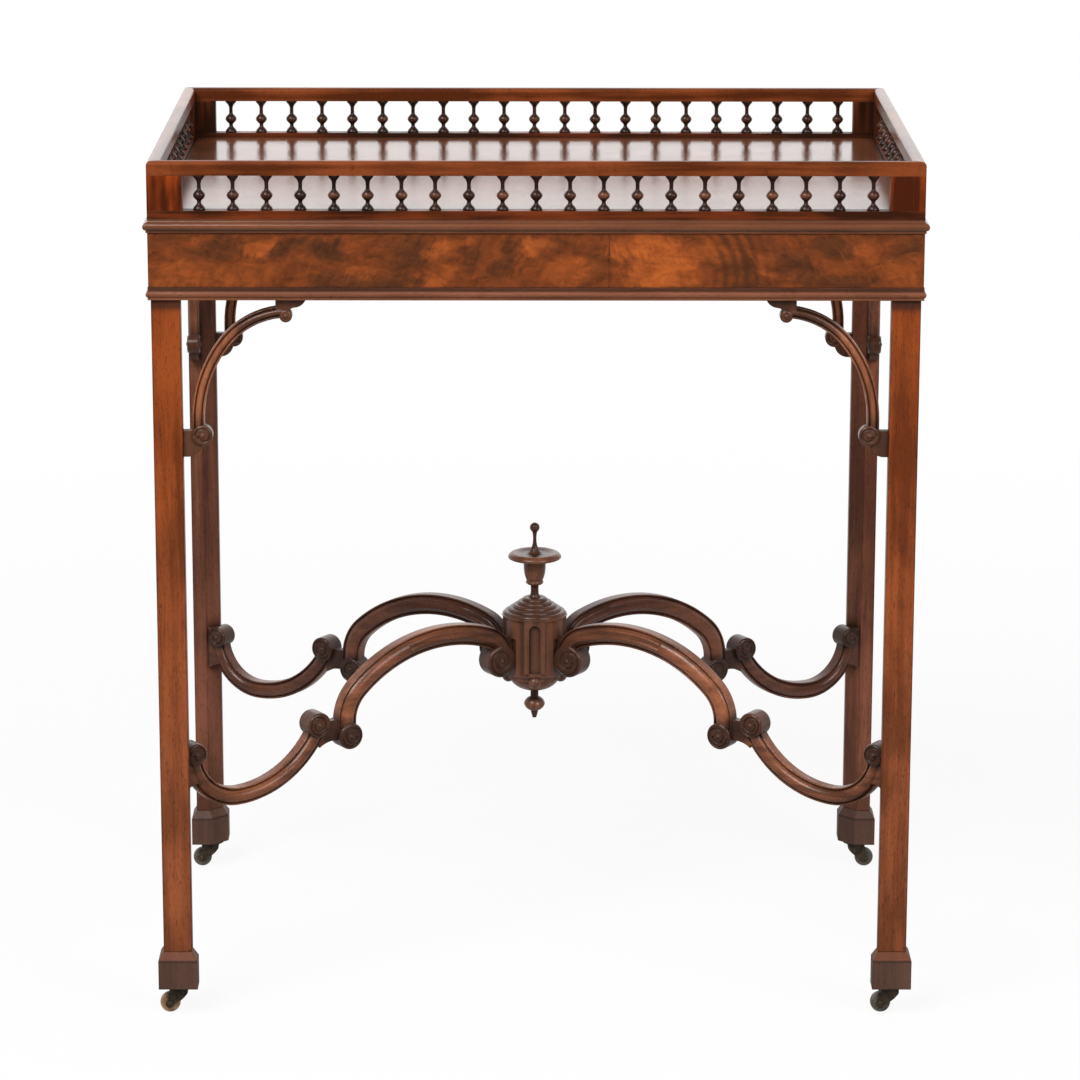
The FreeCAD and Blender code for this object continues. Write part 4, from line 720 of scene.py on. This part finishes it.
# neck, ring, cup, underside of the disc, rim, dish, stem and ball
FINIAL_OUTLINE = (
    (0.0, 5.6), (0.8, 5.2), (2.0, 4.2), (3.5, 3.75), (6.0, 3.6), (9.0, 3.6), (11.0, 3.8),
    (11.6, 5.0), (12.2, 6.6), (13.2, 7.7), (14.2, 8.1), (15.0, 7.9), (15.6, 7.4), (16.0, 7.3),
    (16.6, 7.7), (18.0, 8.3), (20.5, 9.1), (23.5, 9.7), (27.0, 10.05), (31.0, 10.2), (33.8, 10.25),
    (34.6, 10.7), (35.2, 12.0), (35.5, 14.5), (35.7, 17.5), (36.0, 20.5), (36.6, 22.9), (37.3, 24.1),
    (38.1, 24.4), (39.0, 24.2), (40.2, 23.4), (41.3, 22.2), (42.0, 20.7), (42.3, 19.1),
    (42.0, 17.2), (41.3, 15.0), (40.7, 12.5), (40.5, 10.0), (40.7, 8.0), (41.3, 6.6), (42.4, 5.3),
    (44.2, 4.1), (46.5, 3.0), (49.0, 2.25), (52.0, 1.7), (55.0, 1.55), (57.5, 1.65), (59.5, 1.9),
    (61.0, 2.2), (61.8, 2.5), (62.4, 3.15), (63.3, 3.9), (64.4, 4.35), (65.6, 4.5), (66.8, 4.35),
    (67.9, 3.9), (68.8, 3.15), (69.5, 2.2), (69.9, 1.3), (70.1, 0.4),
)
SPINDLE_ROOM = 0.0053
SPINDLE_COUNT = {"front": 21, "back": 21, "left": 12, "right": 12}
FACETS = 32


def turned(name, outline, axes, finish, node):
    """Pieces turned to one outline on upright axes, which stand for a plain node."""
    points = []
    faces = []
    for axis in axes:
        start = len(points)
        for height, radius in outline:
            for turn in range(FACETS):
                angle = math.tau * turn / FACETS
                point = Vector((math.cos(angle) * radius, math.sin(angle) * radius, height))
                points.append(axis + point / 1000)
        for ring in range(start, len(points) - FACETS, FACETS):
            for turn in range(FACETS):
                here = ring + turn
                beside = ring + (turn + 1) % FACETS
                faces.append((here, beside, beside + FACETS, here + FACETS))
        faces.append(tuple(reversed(range(start, start + FACETS))))
        faces.append(tuple(range(len(points) - FACETS, len(points))))
    mesh = bpy.data.meshes.new(name)
    mesh.from_pydata(points, [], faces)
    mesh.polygons.foreach_set("use_smooth", [len(face) == 4 for face in faces])
    mesh.materials.append(finish)
    piece = bpy.data.objects.new(name, mesh)
    bpy.context.scene.collection.objects.link(piece)
    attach(piece, "table")
    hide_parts(node)


def row_axes(side):
    """Feet of the spindles in one row, evenly spaced where the plain row stands."""
    low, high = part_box("gallery_spindles_" + side)
    along = 0 if side in ("front", "back") else 1
    first = low[along] + SPINDLE_ROOM
    step = (high[along] - SPINDLE_ROOM - first) / (SPINDLE_COUNT[side] - 1)
    for number in range(SPINDLE_COUNT[side]):
        axis = (low + high) / 2
        axis.z = low.z
        axis[along] = first + step * number
        yield axis


for side in SPINDLE_COUNT:
    turned("turned_spindles_" + side, SPINDLE_OUTLINE, row_axes(side),
           front_spindle if side == "front" else other_spindle, "gallery_spindles_" + side)
turned("turned_finial", FINIAL_OUTLINE, [Vector((0.0, 0.0, FINIAL_FOOT))], finial_wood,
       "stretcher_finial")


# Studio

FLOOR_REACH = 30.0
PAPER = rgb(0.95, 0.95, 0.95)
PAPER_AS_LIGHT = rgb(0.5, 0.5, 0.5)
WHITE = rgb(1.0, 1.0, 1.0)
ROOM_LIGHT = 0.26
SOFTBOXES = {
    "key_softbox": {"at": (-1.5, -2.3, 3.3), "towards": (0.0, 0.0, 0.45), "width": 2.0, "height": 1.6,
                    "power": 118.0},
    "fill_softbox": {"at": (2.2, -2.5, 2.2), "towards": (0.0, 0.0, 0.4), "width": 1.8, "height": 1.6,
                     "power": 54.0},
    "back_softbox": {"at": (0.0, 2.6, 1.5), "towards": (0.0, 0.0, 0.75), "width": 2.8, "height": 1.5,
                     "power": 9.0},
}
CAMERA_PLACE = (-0.0162, -3.8867, 1.3581)
CAMERA_LENS = 146.02
CAMERA_SENSOR = 36.0
CAMERA_LOOKS_DOWN = math.radians(14.12)
CAMERA_LOOKS_RIGHT = math.radians(0.31)
CAMERA_ROLL = math.radians(0.11)


def seen_directly(tree):
    """Light Path masks: seen by the camera, and seen in a reflection or through glass."""
    path = place(tree, "ShaderNodeLightPath").outputs
    return path["Is Camera Ray"], sums(tree, "MAXIMUM", path["Is Glossy Ray"], path["Is Transmission Ray"])


def studio_floor():
    """Pale paper that keeps the table's shadow; it can be seen through from below."""
    mesh = bpy.data.meshes.new("studio_floor")
    corners = [(-1, -1), (1, -1), (1, 1), (-1, 1)]
    mesh.from_pydata([(x * FLOOR_REACH, y * FLOOR_REACH, 0) for x, y in corners], [], [(0, 1, 2, 3)])
    floor = bpy.data.objects.new("studio_floor", mesh)
    bpy.context.scene.collection.objects.link(floor)
    material = bpy.data.materials.new("studio_paper")
    material.use_nodes = True
    tree = material.node_tree
    tree.nodes.clear()
    output = tree.nodes.new("ShaderNodeOutputMaterial")
    where = place(tree, "ShaderNodeTexCoord").outputs["Object"]
    camera_ray, mirrored = seen_directly(tree)
    share = sums(tree, "MULTIPLY", camera_ray, spread(tree, length_of(tree, where), 0.7, 2.2, 0.91, 1.0))
    share = sums(tree, "MAXIMUM", share, sums(tree, "MULTIPLY", mirrored, 0.9))
    glow_level = spread(tree, axis_of(tree, where, "Y"), -0.6, 1.2, 0.12, 1.0)
    glow_level = sums(tree, "MAXIMUM", glow_level, camera_ray)
    tint = blend(tree, camera_ray, PAPER_AS_LIGHT, PAPER)
    paper = place(tree, "ShaderNodeBsdfDiffuse", {"Color": tint})
    glow = place(tree, "ShaderNodeEmission", {"Color": WHITE, "Strength": glow_level})
    mixed = place(tree, "ShaderNodeMixShader", {0: share, 1: paper.outputs[0], 2: glow.outputs[0]})
    below = place(tree, "ShaderNodeNewGeometry").outputs["Backfacing"]
    clear = place(tree, "ShaderNodeBsdfTransparent")
    mixed = place(tree, "ShaderNodeMixShader", {0: below, 1: mixed.outputs[0], 2: clear.outputs[0]})
    tree.links.new(mixed.outputs[0], output.inputs["Surface"])
    mesh.materials.append(material)


def studio_world():
    """White backdrop behind the table; the room on the camera's side is darker, as a studio is."""
    world = bpy.data.worlds.new("studio_white")
    world.use_nodes = True
    tree = world.node_tree
    tree.nodes.clear()
    output = tree.nodes.new("ShaderNodeOutputWorld")
    camera_ray, mirrored = seen_directly(tree)
    direction = place(tree, "ShaderNodeTexCoord").outputs["Generated"]
    backdrop = spread(tree, axis_of(tree, direction, "Y"), -0.1, 0.6, 0.10, 1.0)
    strength = sums(tree, "MULTIPLY_ADD", mirrored, sums(tree, "SUBTRACT", backdrop, ROOM_LIGHT), ROOM_LIGHT)
    strength = sums(tree, "MAXIMUM", strength, camera_ray)
    sky = place(tree, "ShaderNodeBackground", {"Color": WHITE, "Strength": strength})
    tree.links.new(sky.outputs[0], output.inputs["Surface"])
    bpy.context.scene.world = world


def soft_light(name, at, towards, width, height, power):
    lamp = bpy.data.lights.new(name, "AREA")
    lamp.shape = "RECTANGLE"
    lamp.size = width
    lamp.size_y = height
    lamp.energy = power
    box = bpy.data.objects.new(name, lamp)
    box.location = at
    box.rotation_mode = "QUATERNION"
    box.rotation_quaternion = (Vector(towards) - Vector(at)).to_track_quat("-Z", "Y")
    box.visible_camera = False
    bpy.context.scene.collection.objects.link(box)


def photo_camera():
    camera = bpy.data.cameras.new("photo_camera")
    camera.lens = CAMERA_LENS
    camera.sensor_width = CAMERA_SENSOR
    holder = bpy.data.objects.new("photo_camera", camera)
    holder.location = CAMERA_PLACE
    holder.rotation_mode = "QUATERNION"
    aim = Euler((math.radians(90) - CAMERA_LOOKS_DOWN, 0.0, -CAMERA_LOOKS_RIGHT)).to_quaternion()
    holder.rotation_quaternion = aim @ Quaternion((0.0, 0.0, 1.0), CAMERA_ROLL)
    bpy.context.scene.collection.objects.link(holder)
    bpy.context.scene.camera = holder


studio_floor()
studio_world()
for name, settings in SOFTBOXES.items():
    soft_light(name, **settings)
photo_camera()
bpy.context.scene.view_settings.view_transform = "Standard"
